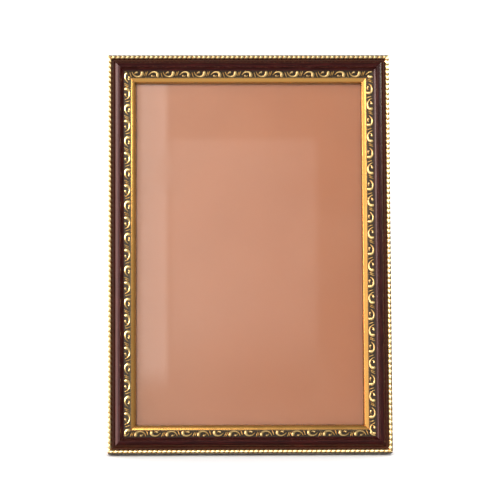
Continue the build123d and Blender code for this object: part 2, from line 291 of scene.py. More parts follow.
class Graph:
    """Adds nodes to one node tree and joins them."""

    def __init__(self, tree: bpy.types.NodeTree) -> None:
        """Keeps the tree that the nodes go into."""
        self.tree = tree

    def add(self, kind: str, inputs: dict | None = None, **settings: object) -> bpy.types.Node:
        """Adds one node.

        Args:
            kind: The node's type name.
            inputs: Values or sockets for its inputs, by name, identifier or index.
            settings: The node's own settings.

        Returns:
            The new node.
        """
        node = self.tree.nodes.new(kind)
        for name, value in settings.items():
            setattr(node, name, value)
        for key, value in (inputs or {}).items():
            self.feed(node, key, value)
        return node

    def out(self, kind: str, inputs: dict | None = None, **settings: object) -> bpy.types.NodeSocket:
        """Adds one node, as add does, and gives its first output."""
        return self.add(kind, inputs, **settings).outputs[0]

    def feed(self, node: bpy.types.Node, key: str | int, value: object) -> None:
        """Sets or joins one input.

        Args:
            node: The node that has the input.
            key: The input's name, identifier or index.
            value: A socket to join, or a plain value.
        """
        target = node.inputs[key] if isinstance(key, int) else self.named(node.inputs, key)
        if isinstance(value, bpy.types.NodeSocket):
            self.tree.links.new(value, target)
        else:
            target.default_value = value

    @staticmethod
    def named(sockets: Iterable[bpy.types.NodeSocket], key: str) -> bpy.types.NodeSocket:
        """Finds a socket by its identifier or else by its name.

        Args:
            sockets: A node's inputs or its outputs.
            key: The identifier or the name.

        Returns:
            The first socket that has it.
        """
        listed = list(sockets)
        found = [s for s in listed if s.identifier == key] + [s for s in listed if s.name == key]
        return found[0]

    def math(self, operation: str, *terms: object) -> bpy.types.NodeSocket:
        """The result of one sum on up to three numbers."""
        return self.out("ShaderNodeMath", dict(enumerate(terms)), operation=operation)

    def times(self, *terms: object) -> bpy.types.NodeSocket:
        """The product of numbers."""
        return reduce(lambda first, second: self.math("MULTIPLY", first, second), terms)

    def plus(self, *terms: object) -> bpy.types.NodeSocket:
        """The sum of numbers."""
        return reduce(lambda first, second: self.math("ADD", first, second), terms)

    def minus(self, first: object, second: object) -> bpy.types.NodeSocket:
        """The first number less the second."""
        return self.math("SUBTRACT", first, second)

    def vector(self, x: object = 0.0, y: object = 0.0, z: object = 0.0) -> bpy.types.NodeSocket:
        """A vector from three numbers."""
        return self.out("ShaderNodeCombineXYZ", {"X": x, "Y": y, "Z": z})

    def parts(self, vector: object) -> bpy.types.bpy_prop_collection:
        """A vector's three numbers, by X, Y and Z."""
        return self.add("ShaderNodeSeparateXYZ", {0: vector}).outputs

    def scaled(self, vector: object, factors: object) -> bpy.types.NodeSocket:
        """A vector times three factors."""
        return self.out("ShaderNodeVectorMath", {0: vector, 1: factors}, operation="MULTIPLY")

    def lengthened(self, vector: object, factor: object) -> bpy.types.NodeSocket:
        """A vector times one number."""
        return self.out("ShaderNodeVectorMath", {0: vector, "Scale": factor}, operation="SCALE")

    def noise(
        self, vector: object, scale: object, detail: float = 2.0, roughness: float = 0.5
    ) -> bpy.types.NodeSocket:
        """Cloudy noise from nought to one."""
        return self.out("ShaderNodeTexNoise", {
            "Vector": vector, "Scale": scale, "Detail": detail, "Roughness": roughness})

    def spread(
        self, value: object, low: object, high: object, to: Point = (0, 1)
    ) -> bpy.types.NodeSocket:
        """A number from low to high, eased to a new range."""
        inputs = {"Value": value, "From Min": low, "From Max": high, "To Min": to[0], "To Max": to[1]}
        return self.out("ShaderNodeMapRange", inputs, interpolation_type="SMOOTHSTEP")

    def blend(
        self, factor: object, first: object, second: object, kind: Blend = Blend.MIX
    ) -> bpy.types.NodeSocket:
        """Lays one colour over another.

        Args:
            factor: The share of the second.
            first: The first colour.
            second: The second colour.
            kind: How it is laid over the first.

        Returns:
            The resulting colour.
        """
        inputs = {"Factor_Float": factor, "A_Color": first, "B_Color": second}
        node = self.add("ShaderNodeMix", inputs, data_type="RGBA", blend_type=kind.value)
        return self.named(node.outputs, "Result_Color")


class GeometryTree(Graph):
    """A Geometry Nodes tree with named inputs that makes one plain mesh."""

    def __init__(self, name: str, inputs: Sockets) -> None:
        """Opens the tree.

        Args:
            name: The tree's name.
            inputs: The inputs' names by their kind, next to the material that every tree has.
        """
        super().__init__(bpy.data.node_groups.new(name, "GeometryNodeTree"))
        open_sockets(self.tree, Direction.IN, inputs | {"Material": ("Material",)})
        open_sockets(self.tree, Direction.OUT, {"Geometry": ("Geometry",)})
        self.given = self.add("NodeGroupInput").outputs

    def close(self, geometry: bpy.types.NodeSocket) -> None:
        """Ends the tree with real, smooth, finished faces.

        Args:
            geometry: The shape, its instances not yet real.
        """
        smooth = self.out("GeometryNodeSetShadeSmooth", {"Geometry": geometry})
        real = self.out("GeometryNodeRealizeInstances", {"Geometry": smooth})
        done = self.out("GeometryNodeSetMaterial", {"Geometry": real, "Material": self.given["Material"]})
        self.add("NodeGroupOutput", {"Geometry": done})

    def joined(self, parts: Iterable[bpy.types.NodeSocket]) -> bpy.types.NodeSocket:
        """Several shapes as one.

        Args:
            parts: The shapes.

        Returns:
            The whole.
        """
        whole = self.add("GeometryNodeJoinGeometry")
        for part in parts:
            self.tree.links.new(part, whole.inputs[0])
        return whole.outputs[0]

    def circle(self, sides: object, radius: object) -> bpy.types.NodeSocket:
        """A closed outline of even sides."""
        return self.out("GeometryNodeCurvePrimitiveCircle", {"Resolution": sides, "Radius": radius})

    def marked(self, geometry: object, relief: object) -> bpy.types.NodeSocket:
        """A shape whose points keep a number as their relief."""
        inputs = {"Geometry": geometry, "Name": "relief", "Value": relief}
        return self.out("GeometryNodeStoreNamedAttribute", inputs, domain="POINT")

    def moved(self, geometry: object, offset: object) -> bpy.types.NodeSocket:
        """A shape moved by an offset."""
        return self.out("GeometryNodeTransform", {"Geometry": geometry, "Translation": offset})

    def drawn_at(self, geometry: object, position: object, chosen: object = True) -> bpy.types.NodeSocket:
        """A shape with its chosen points set at new positions."""
        inputs = {"Geometry": geometry, "Position": position, "Selection": chosen}
        return self.out("GeometryNodeSetPosition", inputs)

    def made(self, name: str, values: dict[str, object]) -> bpy.types.Mesh:
        """Runs the tree once.

        Args:
            name: The mesh's name.
            values: The named inputs' values.

        Returns:
            The result as a plain mesh.
        """
        carrier = bpy.data.objects.new(f"{name}_carrier", bpy.data.meshes.new(name))
        bpy.context.scene.collection.objects.link(carrier)
        modifier = carrier.modifiers.new("made", "NODES")
        modifier.node_group = self.tree
        for item in self.tree.interface.items_tree:
            if item.in_out == Direction.IN.value:
                modifier[item.identifier] = values[item.name]
        bpy.context.view_layer.update()
        graph = bpy.context.evaluated_depsgraph_get()
        mesh = bpy.data.meshes.new_from_object(carrier.evaluated_get(graph))
        bpy.data.objects.remove(carrier)
        mesh.name = name
        mesh.materials.clear()
        mesh.materials.append(values["Material"])
        mesh.polygons.foreach_set("material_index", [0] * len(mesh.polygons))
        return mesh


class SharedEffects:
    """Surface effects that several finishes use, each built once as a node group."""

    cloud_detail: float = 4.0
    leaf_scale: float = 1300.0
    leaf_detail: float = 5.0
    leaf_wander: float = 0.45
    tarnish_scale: float = 90.0
    tarnish_detail: float = 3.0
    tarnish_levels: Point = (0.35, 0.7)
    tarnish_share: float = 0.35
    tarnish_roughness: float = 0.12
    # The relief over which gilding takes its rubbed tone: rubbed wear, and a painted highlight on the
    # tops.
    rubbed_levels: Point = (0.55, 1.05)
    metal_from: float = 0.8
    least_metal: float = 0.25
    recess_roughness: float = 0.3
    fibre_detail: float = 6.0
    fibre_roughness: float = 0.65
    fibre_share: float = 0.75
    fibre_levels: Point = (0.35, 0.68)
    mottle_scale: float = 22.0

    def __init__(self) -> None:
        """Builds the groups."""
        self.speckle = self.effect(
            "speckle", {"Vector": ("Vector",), "Float": ("Scale", "Low", "High")},
            {"Float": ("Mask", "Height")}, self.draw_speckle)
        self.gilding = self.effect(
            "gilding",
            {"Vector": ("Vector",), "Color": ("Recess", "Body", "Rubbed"),
             "Float": ("Relief", "Low", "High", "Shine", "Metal")},
            {"Color": ("Color",), "Float": ("Metallic", "Roughness", "Height")}, self.draw_gilding)
        self.fibre = self.effect(
            "fibre", {"Vector": ("Vector", "Stretch"), "Float": ("Scale",), "Color": ("Dark", "Light")},
            {"Color": ("Color",), "Float": ("Height",)}, self.draw_fibre)

    @staticmethod
    def effect(name: str, inputs: Sockets, outputs: Sockets, draw: Callable) -> bpy.types.NodeTree:
        """Makes one group.

        Args:
            name: The group's name.
            inputs: The inputs' names by their kind.
            outputs: The outputs' names by their kind.
            draw: Joins the group's nodes; gets the graph and its inputs, returns outputs by name.

        Returns:
            The group's tree.
        """
        tree = bpy.data.node_groups.new(name, "ShaderNodeTree")
        open_sockets(tree, Direction.IN, inputs)
        open_sockets(tree, Direction.OUT, outputs)
        graph = Graph(tree)
        given = graph.add("NodeGroupInput").outputs
        graph.add("NodeGroupOutput", draw(graph, given))
        return tree

    def draw_speckle(self, graph: Graph, given: object) -> dict[str, object]:
        """Cloudy spots: a mask between two levels, and the cloud itself as a height."""
        cloud = graph.noise(given["Vector"], given["Scale"], self.cloud_detail)
        return {"Mask": graph.spread(cloud, given["Low"], given["High"]), "Height": cloud}

    def draw_gilding(self, graph: Graph, given: object) -> dict[str, object]:
        """Gilding that is dark in the hollows, warm on the slopes and bright on top: rubbed wear, and a
        painted highlight.

        Args:
            graph: The group's graph.
            given: The group's inputs.

        Returns:
            The group's outputs by name.
        """
        leaf = graph.noise(given["Vector"], self.leaf_scale, self.leaf_detail)
        tarnish = graph.noise(given["Vector"], self.tarnish_scale, self.tarnish_detail)
        level = graph.plus(given["Relief"], graph.times(graph.minus(leaf, 0.5), self.leaf_wander))
        covered = graph.spread(level, given["Low"], given["High"])
        cleaned = graph.spread(tarnish, *self.tarnish_levels, (0, self.tarnish_share))
        toned = graph.blend(cleaned, given["Body"], given["Rubbed"])
        # The highest relief takes the rubbed tone: rubbed wear, and a painted highlight.
        upper = graph.blend(graph.spread(level, *self.rubbed_levels), toned, given["Rubbed"])
        metal = graph.spread(covered, 0.0, self.metal_from, (self.least_metal, 1.0))
        dull = graph.times(graph.minus(1.0, covered), self.recess_roughness)
        return {
            "Color": graph.blend(covered, given["Recess"], upper),
            "Metallic": graph.times(metal, given["Metal"]),
            "Roughness": graph.plus(dull, given["Shine"], graph.times(tarnish, self.tarnish_roughness)),
            "Height": leaf,
        }

    def draw_fibre(self, graph: Graph, given: object) -> dict[str, object]:
        """Fibres or grain: a fine stretched pattern over a broad one.

        Args:
            graph: The group's graph.
            given: The group's inputs.

        Returns:
            The group's outputs by name.
        """
        stretched = graph.scaled(given["Vector"], given["Stretch"])
        fine = graph.noise(stretched, given["Scale"], self.fibre_detail, self.fibre_roughness)
        mottle = graph.times(graph.noise(given["Vector"], self.mottle_scale), 1 - self.fibre_share)
        woven = graph.math("MULTIPLY_ADD", fine, self.fibre_share, mottle)
        tone = graph.spread(woven, *self.fibre_levels)
        return {"Color": graph.blend(tone, given["Dark"], given["Light"]), "Height": fine}


@dataclass(frozen=True)
class Speckling:
    """Cloudy spots in a finish: how fine they are, and the levels between which they show."""

    scale: float
    low: float
    high: float


class ShaderTree(Graph):
    """A material's node tree around one Principled shader."""

    def __init__(self, name: str) -> None:
        """Opens a material with its shader and output.

        Args:
            name: The material's name.
        """
        self.material = bpy.data.materials.new(name)
        self.material.use_nodes = True
        super().__init__(self.material.node_tree)
        self.tree.nodes.clear()
        self.shader = self.add("ShaderNodeBsdfPrincipled")
        self.output = self.add("ShaderNodeOutputMaterial", {"Surface": self.shader.outputs[0]})

    def place(self, uv_map: str = "") -> bpy.types.NodeSocket:
        """Where a pattern is read.

        Args:
            uv_map: The map that it follows, or empty for Object coordinates.

        Returns:
            The coordinates.
        """
        if uv_map:
            return self.out("ShaderNodeUVMap", uv_map=uv_map)
        return self.add("ShaderNodeTexCoord").outputs["Object"]

    def mark(self, name: str) -> bpy.types.NodeSocket:
        """A number kept on the mesh under a name."""
        return self.add("ShaderNodeAttribute", attribute_name=name).outputs["Fac"]

    def group(self, tree: bpy.types.NodeTree, inputs: dict) -> bpy.types.bpy_prop_collection:
        """The outputs of a shared effect placed with its own values."""
        return self.add("ShaderNodeGroup", inputs, node_tree=tree).outputs

    def speckled(
        self, effects: SharedEffects, vector: object, spots: Speckling
    ) -> bpy.types.bpy_prop_collection:
        """The mask and height of spots at a place."""
        inputs = {"Vector": vector, "Scale": spots.scale, "Low": spots.low, "High": spots.high}
        return self.group(effects.speckle, inputs)

    def finish(self, **inputs: object) -> None:
        """Feeds the shader's inputs, each named with underscores for blanks."""
        for name, value in inputs.items():
            self.feed(self.shader, name.replace("_", " "), value)

    def bump(self, height: object, strength: float, depth: float) -> None:
        """Raises the surface by a height."""
        inputs = {"Height": height, "Strength": strength, "Distance": depth}
        self.feed(self.shader, "Normal", self.out("ShaderNodeBump", inputs))


@dataclass(frozen=True)
class Lacquer:
    """Maroon lacquer over the moulding's face: faint long streaks, worn arris, and a dusty groove whose
    tone is lightened as painted light.

    Attributes:
        name: The material's name.
        deep: Its darkest tone.
        warm: The tone of its streaks.
        dust: The groove's tone: dust, lightened as painted light where the rope keeps light out.
        worn: The tone of the rubbed arris.
        roughness: Its middle roughness.
        roughness_spread: How far its roughness varies.
        dust_roughness: How much rougher the dust is.
        gloss: Its specular level.
        coat: The weight of its clear coat.
        coat_roughness: The clear coat's roughness.
        streaks: Fine streaks, drawn out along the rail.
        streak_stretch: How the streaks are drawn out.
        clouds: Broad clouds.
        cloud_shade: How much the clouds darken.
        specks: Fine specks of wear.
        wear: How much of the arris is worn.
        dust_levels: The least and most of the groove's dust and painted light that the clouds let
            through.
        relief: Strength of its relief, and its depth in metres.
    """

    name: str = "maroon_lacquer"
    deep: Colour = colour(42, 9, 8)
    warm: Colour = colour(66, 16, 13)
    dust: Colour = colour(92, 48, 26)
    worn: Colour = colour(108, 56, 44)
    roughness: float = 0.36
    roughness_spread: float = 0.16
    dust_roughness: float = 0.35
    gloss: float = 0.2
    coat: float = 0.14
    coat_roughness: float = 0.2
    streaks: Speckling = Speckling(900.0, 0.38, 0.66)
    streak_stretch: Triple = (0.06, 1, 1)
    clouds: Speckling = Speckling(70.0, 0.35, 0.7)
    cloud_shade: float = 0.35
    specks: Speckling = Speckling(1500.0, 0.5, 0.62)
    wear: float = 0.55
    dust_levels: Point = (0.55, 1)
    relief: Point = (0.12, 0.00008)

    def made(self, effects: SharedEffects) -> bpy.types.Material:
        """Builds the material.

        Args:
            effects: The shared effects.

        Returns:
            The material.
        """
        tree = ShaderTree(self.name)
        along = tree.scaled(tree.place("rail"), self.streak_stretch)
        streaks = tree.speckled(effects, along, self.streaks)
        clouds = tree.speckled(effects, tree.place(), self.clouds)
        specks = tree.speckled(effects, tree.place(), self.specks)
        body = tree.blend(streaks["Mask"], self.deep, self.warm)
        shade = tree.blend(tree.times(clouds["Mask"], self.cloud_shade), body, self.deep)
        rubbed = tree.times(tree.mark("arris"), specks["Mask"], self.wear)
        worn = tree.blend(rubbed, shade, self.worn)
        # The groove's tone is dust, lightened as painted light where the rope keeps light out.
        dust = tree.spread(clouds["Height"], *NOISE_SPAN, self.dust_levels)
        dust_and_light_share = tree.times(tree.mark("groove"), dust)
        least_roughness = self.roughness - self.roughness_spread / 2
        rough = tree.math("MULTIPLY_ADD", clouds["Height"], self.roughness_spread, least_roughness)
        tree.finish(
            Base_Color=tree.blend(dust_and_light_share, worn, self.dust),
            Roughness=tree.plus(rough, tree.times(dust_and_light_share, self.dust_roughness)),
            Specular_IOR_Level=self.gloss,
            Coat_Weight=tree.minus(self.coat, tree.times(dust_and_light_share, self.coat)),
            Coat_Roughness=self.coat_roughness,
        )
        tree.bump(tree.plus(streaks["Height"], specks["Height"]), *self.relief)
        return tree.material


@dataclass(frozen=True)
class Gilt:
    """Gilding over relief: dark in its hollows, and bright on its tops where it is rubbed, which is also
    a painted highlight.

    Attributes:
        name: The material's name.
        recess: The tone of its hollows.
        body: The tone of its slopes.
        rubbed: The tone of its tops: rubbed gilt, and a painted highlight.
        low: The relief below which all is recess.
        high: The relief above which all is gilt.
        shine: The roughness of whole gilding.
        metal: How metallic whole gilding is.
        relief: Strength of its fine relief, and its depth in metres.
    """

    name: str
    recess: Colour
    body: Colour
    rubbed: Colour
    low: float
    high: float
    shine: float
    metal: float = 1.0
    relief: Point = (0.15, 0.00006)

    def made(self, effects: SharedEffects) -> bpy.types.Material:
        """Builds the material.

        Args:
            effects: The shared effects.

        Returns:
            The material.
        """
        tree = ShaderTree(self.name)
        gilt = tree.group(effects.gilding, {
            "Vector": tree.place(), "Relief": tree.mark("relief"), "Recess": self.recess,
            "Body": self.body, "Rubbed": self.rubbed, "Low": self.low, "High": self.high,
            "Shine": self.shine, "Metal": self.metal})
        tree.finish(Base_Color=gilt["Color"], Metallic=gilt["Metallic"], Roughness=gilt["Roughness"])
        tree.bump(gilt["Height"], *self.relief)
        return tree.material


@dataclass(frozen=True)
class Glass:
    """Clear picture glass with a faint green in its thickness and faint smears."""

    name: str = "picture_glass"
    tint: Colour = (0.99, 0.998, 0.994, 1.0)
    bending: float = 1.5
    smears: Speckling = Speckling(18.0, 0.45, 0.8)
    smear_roughness: float = 0.05

    def made(self, effects: SharedEffects) -> bpy.types.Material:
        """Builds the material: light passes straight through it on its way to the sheet.

        Args:
            effects: The shared effects.

        Returns:
            The material.
        """
        tree = ShaderTree(self.name)
        smears = tree.speckled(effects, tree.place(), self.smears)
        tree.finish(
            Base_Color=self.tint,
            Roughness=tree.times(smears["Mask"], self.smear_roughness),
            IOR=self.bending,
            Transmission_Weight=1.0,
        )
        clear = tree.out("ShaderNodeBsdfTransparent", {"Color": self.tint})
        lit = tree.add("ShaderNodeLightPath").outputs["Is Shadow Ray"]
        mixed = tree.out("ShaderNodeMixShader", {0: lit, 1: tree.shader.outputs[0], 2: clear})
        tree.feed(tree.output, "Surface", mixed)
        return tree.material


@dataclass(frozen=True)
class Fibrous:
    """Board, paper or bare wood: fibres or grain in two tones, dry and slightly rough.

    Attributes:
        name: The material's name.
        dark: Its darker tone.
        light: Its lighter tone.
        scale: How fine its fibres are.
        stretch: How they are drawn out.
        roughness: Its middle roughness.
        strength: Strength of its relief.
        uv_map: The map that the grain follows, or empty for Object coordinates.
        roughness_spread: How far its roughness varies to either side.
        gloss: Its specular level.
        depth: Depth of its relief in metres.
    """

    name: str
    dark: Colour
    light: Colour
    scale: float
    stretch: Triple
    roughness: float
    strength: float
    uv_map: str = ""
    roughness_spread: float = 0.08
    gloss: float = 0.3
    depth: float = 0.0001

    def made(self, effects: SharedEffects) -> bpy.types.Material:
        """Builds the material.

        Args:
            effects: The shared effects.

        Returns:
            The material.
        """
        tree = ShaderTree(self.name)
        fibres = tree.group(effects.fibre, {
            "Vector": tree.place(self.uv_map), "Scale": self.scale, "Stretch": self.stretch,
            "Dark": self.dark, "Light": self.light})
        levels = (self.roughness - self.roughness_spread, self.roughness + self.roughness_spread)
        rough = tree.spread(fibres["Height"], *NOISE_SPAN, levels)
        tree.finish(Base_Color=fibres["Color"], Roughness=rough, Specular_IOR_Level=self.gloss)
        tree.bump(fibres["Height"], self.strength, self.depth)
        return tree.material


@dataclass(frozen=True)
class TanSheet:
    """The plain tan sheet behind the glass, with painted light: lighter and pinker on the left, darker
    and warmer on the right.
    """

    name: str = "tan_card"
    pink: Colour = colour(213, 147, 112)
    warm: Colour = colour(202, 126, 80)
    pale: Colour = colour(218, 156, 121)
    half_width: float = 0.1
    blotches: Speckling = Speckling(14.0, 0.35, 0.75)
    blotch_share: float = 0.2
    fibre_scale: float = 1400.0
    fibre_dark: Colour = (0.9, 0.9, 0.9, 1)
    fibre_light: Colour = (1, 1, 1, 1)
    roughness: float = 0.75
    relief: Point = (0.05, 0.00005)

    def made(self, effects: SharedEffects) -> bpy.types.Material:
        """Builds the material.

        Args:
            effects: The shared effects.

        Returns:
            The material.
        """
        tree = ShaderTree(self.name)
        place = tree.place()
        # Lighter and pinker on the left, darker and warmer on the right: painted light from the left.
        side = tree.spread(tree.parts(place)["X"], -self.half_width, self.half_width)
        blotches = tree.speckled(effects, place, self.blotches)
        fibres = tree.group(effects.fibre, {
            "Vector": place, "Scale": self.fibre_scale, "Stretch": (1, 1, 1),
            "Dark": self.fibre_dark, "Light": self.fibre_light})
        tone = tree.blend(side, self.pink, self.warm)
        tone = tree.blend(tree.times(blotches["Mask"], self.blotch_share), tone, self.pale)
        tone = tree.blend(1.0, tone, fibres["Color"], Blend.MULTIPLY)
        tree.finish(Base_Color=tone, Roughness=self.roughness)
        tree.bump(fibres["Height"], *self.relief)
        return tree.material


@dataclass(frozen=True)
class PlatedMetal:
    """Plated or plain sheet metal with rolling marks and dull spots.

    Attributes:
        name: The material's name.
        body: Its own tone.
        spots: The tone of its dull spots.
        roughness: Its middle roughness.
        stretch: How its rolling marks are drawn out.
        spotting: How much the dull spots show.
        marks: The rolling marks.
        dulling: The dull spots.
        mark_roughness: How much rougher the marks are.
        dull_roughness: How much rougher the dull spots are.
        base: How far the clean metal's roughness is below the middle.
        relief: Strength of the marks' relief, and its depth in metres.
    """

    name: str
    body: Colour
    spots: Colour
    roughness: float
    stretch: Triple = (1, 1, 1)
    spotting: float = 0.4
    marks: Speckling = Speckling(1200.0, 0.3, 0.7)
    dulling: Speckling = Speckling(160.0, 0.5, 0.75)
    mark_roughness: float = 0.12
    dull_roughness: float = 0.2
    base: float = 0.1
    relief: Point = (0.08, 0.00005)

    def made(self, effects: SharedEffects) -> bpy.types.Material:
        """Builds the material.

        Args:
            effects: The shared effects.

        Returns:
            The material.
        """
        tree = ShaderTree(self.name)
        place = tree.place()
        marks = tree.speckled(effects, tree.scaled(place, self.stretch), self.marks)
        dull = tree.speckled(effects, place, self.dulling)
        rough = tree.plus(tree.times(marks["Mask"], self.mark_roughness),
                          tree.times(dull["Mask"], self.dull_roughness), self.roughness - self.base)
        tree.finish(
            Base_Color=tree.blend(tree.times(dull["Mask"], self.spotting), self.body, self.spots),
            Metallic=1.0,
            Roughness=rough,
        )
        tree.bump(marks["Height"], *self.relief)
        return tree.material


class Finishes:
    """Every finish on the object, each built once."""

    def __init__(self) -> None:
        """Builds the shared effects and then each material."""
        effects = SharedEffects()
        self.lacquer = Lacquer().made(effects)
        self.bare_wood = Fibrous(
            "bare_wood", colour(150, 112, 74), colour(206, 170, 124), 800.0, (0.05, 1, 1),
            0.7, 0.2, "rail"
        ).made(effects)
        self.rope = Gilt(
            "rope_gilding", colour(120, 78, 38), colour(240, 190, 124), colour(255, 232, 176),
            0.02, 0.4, 0.24
        ).made(effects)
        self.antique = Gilt(
            "strip_gilding", colour(54, 38, 14), colour(200, 150, 76), colour(252, 218, 148),
            0.04, 0.42, 0.24, 0.88
        ).made(effects)
        self.polished = Gilt(
            "fillet_gilding", colour(92, 64, 30), colour(236, 168, 88), colour(252, 188, 104),
            0.0, 0.5, 0.18
        ).made(effects)
        self.glass = Glass().made(effects)
        self.tan_sheet = TanSheet().made(effects)
        self.board = Fibrous(
            "pressed_board", colour(84, 54, 34), colour(138, 98, 66), 900.0, (1, 1, 1), 0.72, 0.3
        ).made(effects)
        self.zinc = PlatedMetal(
            "zinc_plating", colour(190, 192, 194), colour(140, 142, 142), 0.34, (1, 0.1, 0.1)
        ).made(effects)
        self.brassed = PlatedMetal(
            "brass_plating", colour(214, 176, 104), colour(150, 112, 60), 0.28
        ).made(effects)
        self.steel = PlatedMetal(
            "plain_steel", colour(200, 200, 200), colour(120, 116, 110), 0.3
        ).made(effects)
        self.nickel = PlatedMetal(
            "nickel_plating", colour(214, 212, 206), colour(170, 166, 158), 0.2, spotting=0.2
        ).made(effects)


def add_piece(
    name: str, mesh: bpy.types.Mesh, placing: Matrix | None, body: str, node: str
) -> None:
    """Puts a finished mesh in the scene as a piece of the object.

    Args:
        name: The piece's name.
        mesh: Its mesh, in millimetres if it still has to be placed.
        placing: Places the mesh in the frame, or None where it is there already.
        body: The body that it rides on.
        node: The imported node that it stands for.
    """
    if placing is not None:
        mesh.transform(placing)
    piece = bpy.data.objects.new(name, mesh)
    bpy.context.scene.collection.objects.link(piece)
    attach(piece, body)
    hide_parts(node)
    log.info("%s: %d faces on %s", name, len(mesh.polygons), body)


def smooth(mesh: bpy.types.Mesh, angle: float = 32.0) -> None:
    """Shades a mesh smooth, but for edges sharper than an angle in degrees."""
    mesh.shade_smooth()
    mesh.set_sharp_from_angle(angle=math.radians(angle))


@dataclass
class Section:
    """A closed outline across a rail, in millimetres inward from its edge and up from its back.

    Attributes:
        points: The outline's points.
        finishes: The finish number of the face that leaves each point.
        arris: How worn each point is; on gilt, its relief, which also paints shade on the fillet's drop
            and sheen on the scroll ground.
        groove: How deep in the groove each point lies, which gives it the tone of dust and painted light.
    """

    points: list[Point] = field(default_factory=list)
    finishes: list[int] = field(default_factory=list)
    arris: list[float] = field(default_factory=list)
    groove: list[float] = field(default_factory=list)

    def at(self, place: Point, finish: int = 0, arris: float = 0.0, groove: float = 0.0) -> None:
        """Adds a point.

        Args:
            place: Where it is.
            finish: The finish number of the face that leaves it.
            arris: How worn it is; on gilt, its relief, which also paints shade and sheen.
            groove: How deep in the groove it lies, which gives it the tone of dust and painted light.
        """
        self.points.append(place)
        self.finishes.append(finish)
        self.arris.append(arris)
        self.groove.append(groove)

    def bow(self, end: Point, rise: float, steps: int, finish: int = 0, arris: float = 0.0) -> None:
        """Adds an arc from the last point, up to but without its end.

        Args:
            end: Where the arc ends.
            rise: How far it bulges to the left of its way; less than zero is hollow.
            steps: How many faces it has.
            finish: Their finish number.
            arris: How worn they are.
        """
        start = Vector(self.points[-1])
        chord = Vector(end) - start
        along = chord.normalized()
        left = Vector((-chord.y, chord.x)).normalized() * math.copysign(1, rise)
        radius = (chord.length_squared / 4 + rise * rise) / (2 * abs(rise))
        centre = start + chord / 2 + left * (abs(rise) - radius)
        half = math.asin(chord.length / 2 / radius)
        for step in range(1, steps):
            turn = half - 2 * half * step / steps
            place = centre + left * radius * math.cos(turn) - along * radius * math.sin(turn)
            self.at((place.x, place.y), finish, arris)

    def shrunk(self, depth: float) -> list[Point]:
        """The outline moved into the solid.

        Args:
            depth: How far.

        Returns:
            The moved points.
        """
        following = self.points[1:] + self.points[:1]
        area = sum(a[0] * b[1] - b[0] * a[1] for a, b in zip(self.points, following))
        inward_turn = math.copysign(1, area)
        moved = []
        for i, (point, after) in enumerate(zip(self.points, following)):
            arriving = (Vector(point) - Vector(self.points[i - 1])).normalized()
            leaving = (Vector(after) - Vector(point)).normalized()
            both = arriving + leaving
            inward = Vector((-both.y, both.x)).normalized() * inward_turn
            moved.append((point[0] + inward.x * depth, point[1] + inward.y * depth))
        return moved

    def swept(
        self, name: str, half_length: float, joint_gap: float, joint_relief: float,
        materials: Sequence[bpy.types.Material],
    ) -> bpy.types.Mesh:
        """Sweeps the section along a rail and cuts both ends at 45 degrees.

        Args:
            name: The mesh's name.
            half_length: Half the rail's length at its outer edge.
            joint_gap: How far each end stays from the mitre's plane.
            joint_relief: How far the ends' edges are eased.
            materials: The finishes, in the order of their numbers; the ends have the last.

        Returns:
            A closed mesh in the rail's own axes.
        """
        eased = self.shrunk(joint_relief)
        reach = half_length - joint_gap
        rings = []
        for end in (-1, 1):
            full = [(end * (reach - y - joint_relief), y, z) for y, z in self.points]
            tip = [(end * (reach - y), y, z) for y, z in eased]
            rings += [tip, full] if end < 0 else [full, tip]
        count = len(self.points)
        vertices = [point for ring in rings for point in ring]
        lengths = [0.0]
        for i in range(count):
            lengths.append(lengths[-1] + math.dist(self.points[i], self.points[(i + 1) % count]))
        faces, numbers = [], []
        for ring in range(len(rings) - 1):
            for i in range(count):
                j = (i + 1) % count
                low, high = ring * count, (ring + 1) * count
                faces.append((low + i, low + j, high + j, high + i))
                numbers.append(self.finishes[i])
        last = (len(rings) - 1) * count
        for a, b, c in tessellate_polygon([[Vector((y, z, 0)) for y, z in self.points]]):
            faces += [(a, b, c), (last + a, last + b, last + c)]
            numbers += [len(materials) - 1] * 2
        mesh = bpy.data.meshes.new(name)
        mesh.from_pydata(vertices, [], faces)
        for material in materials:
            mesh.materials.append(material)
        mesh.polygons.foreach_set("material_index", numbers)
        for label, marks in (("arris", self.arris), ("groove", self.groove)):
            mesh.attributes.new(label, "FLOAT", "POINT").data.foreach_set("value", marks * len(rings))
        layer = mesh.uv_layers.new(name="rail")
        for polygon in mesh.polygons:
            corners = [(k, mesh.loops[k].vertex_index) for k in polygon.loop_indices]
            steps = {index % count for _, index in corners}
            wraps = 0 in steps and count - 1 in steps
            for k, index in corners:
                ring_place = lengths[count if wraps and index % count == 0 else index % count]
                layer.data[k].uv = (vertices[index][0] * MM, ring_place * MM)
        with reworked(mesh, mesh) as work:
            bmesh.ops.recalc_face_normals(work, faces=work.faces)
        smooth(mesh)
        return mesh


@dataclass(frozen=True)
class MouldingSizes:
    """Sizes across the moulding, in millimetres."""

    width: float = 25.0
    rope_diameter: float = 4.0
    rope_proud: float = 0.6
    rope_seat_height: float = 8.4
    rope_flat_depth: float = 0.6
    quirk_floor_height: float = 9.0
    quirk_easing: float = 0.25
    swell_start: float = 5.7
    swell_foot_height: float = 10.2
    swell_rise: float = 0.9
    crest_place: float = 11.0
    crest_height: float = 16.0
    crest_easing: float = 0.35
    crest_drop: float = 0.112
    cove_rise: float = -0.45
    cove_foot_height: float = 12.6
    strip_start: float = 14.3
    strip_outer_height: float = 12.3
    strip_end: float = 20.5
    strip_inner_height: float = 11.0
    strip_thickness: float = 1.0
    lip_height: float = 7.2
    rebate_height: float = 5.6
    wrap_start: float = 24.2
    fillet_outer_height: float = 10.6
    fillet_inner_height: float = 9.35
    fillet_drop_start: float = 23.8
    fillet_rise: float = 0.1
    fillet_edge_height: float = 6.3
    joint_gap: float = 0.03
    joint_relief: float = 0.14


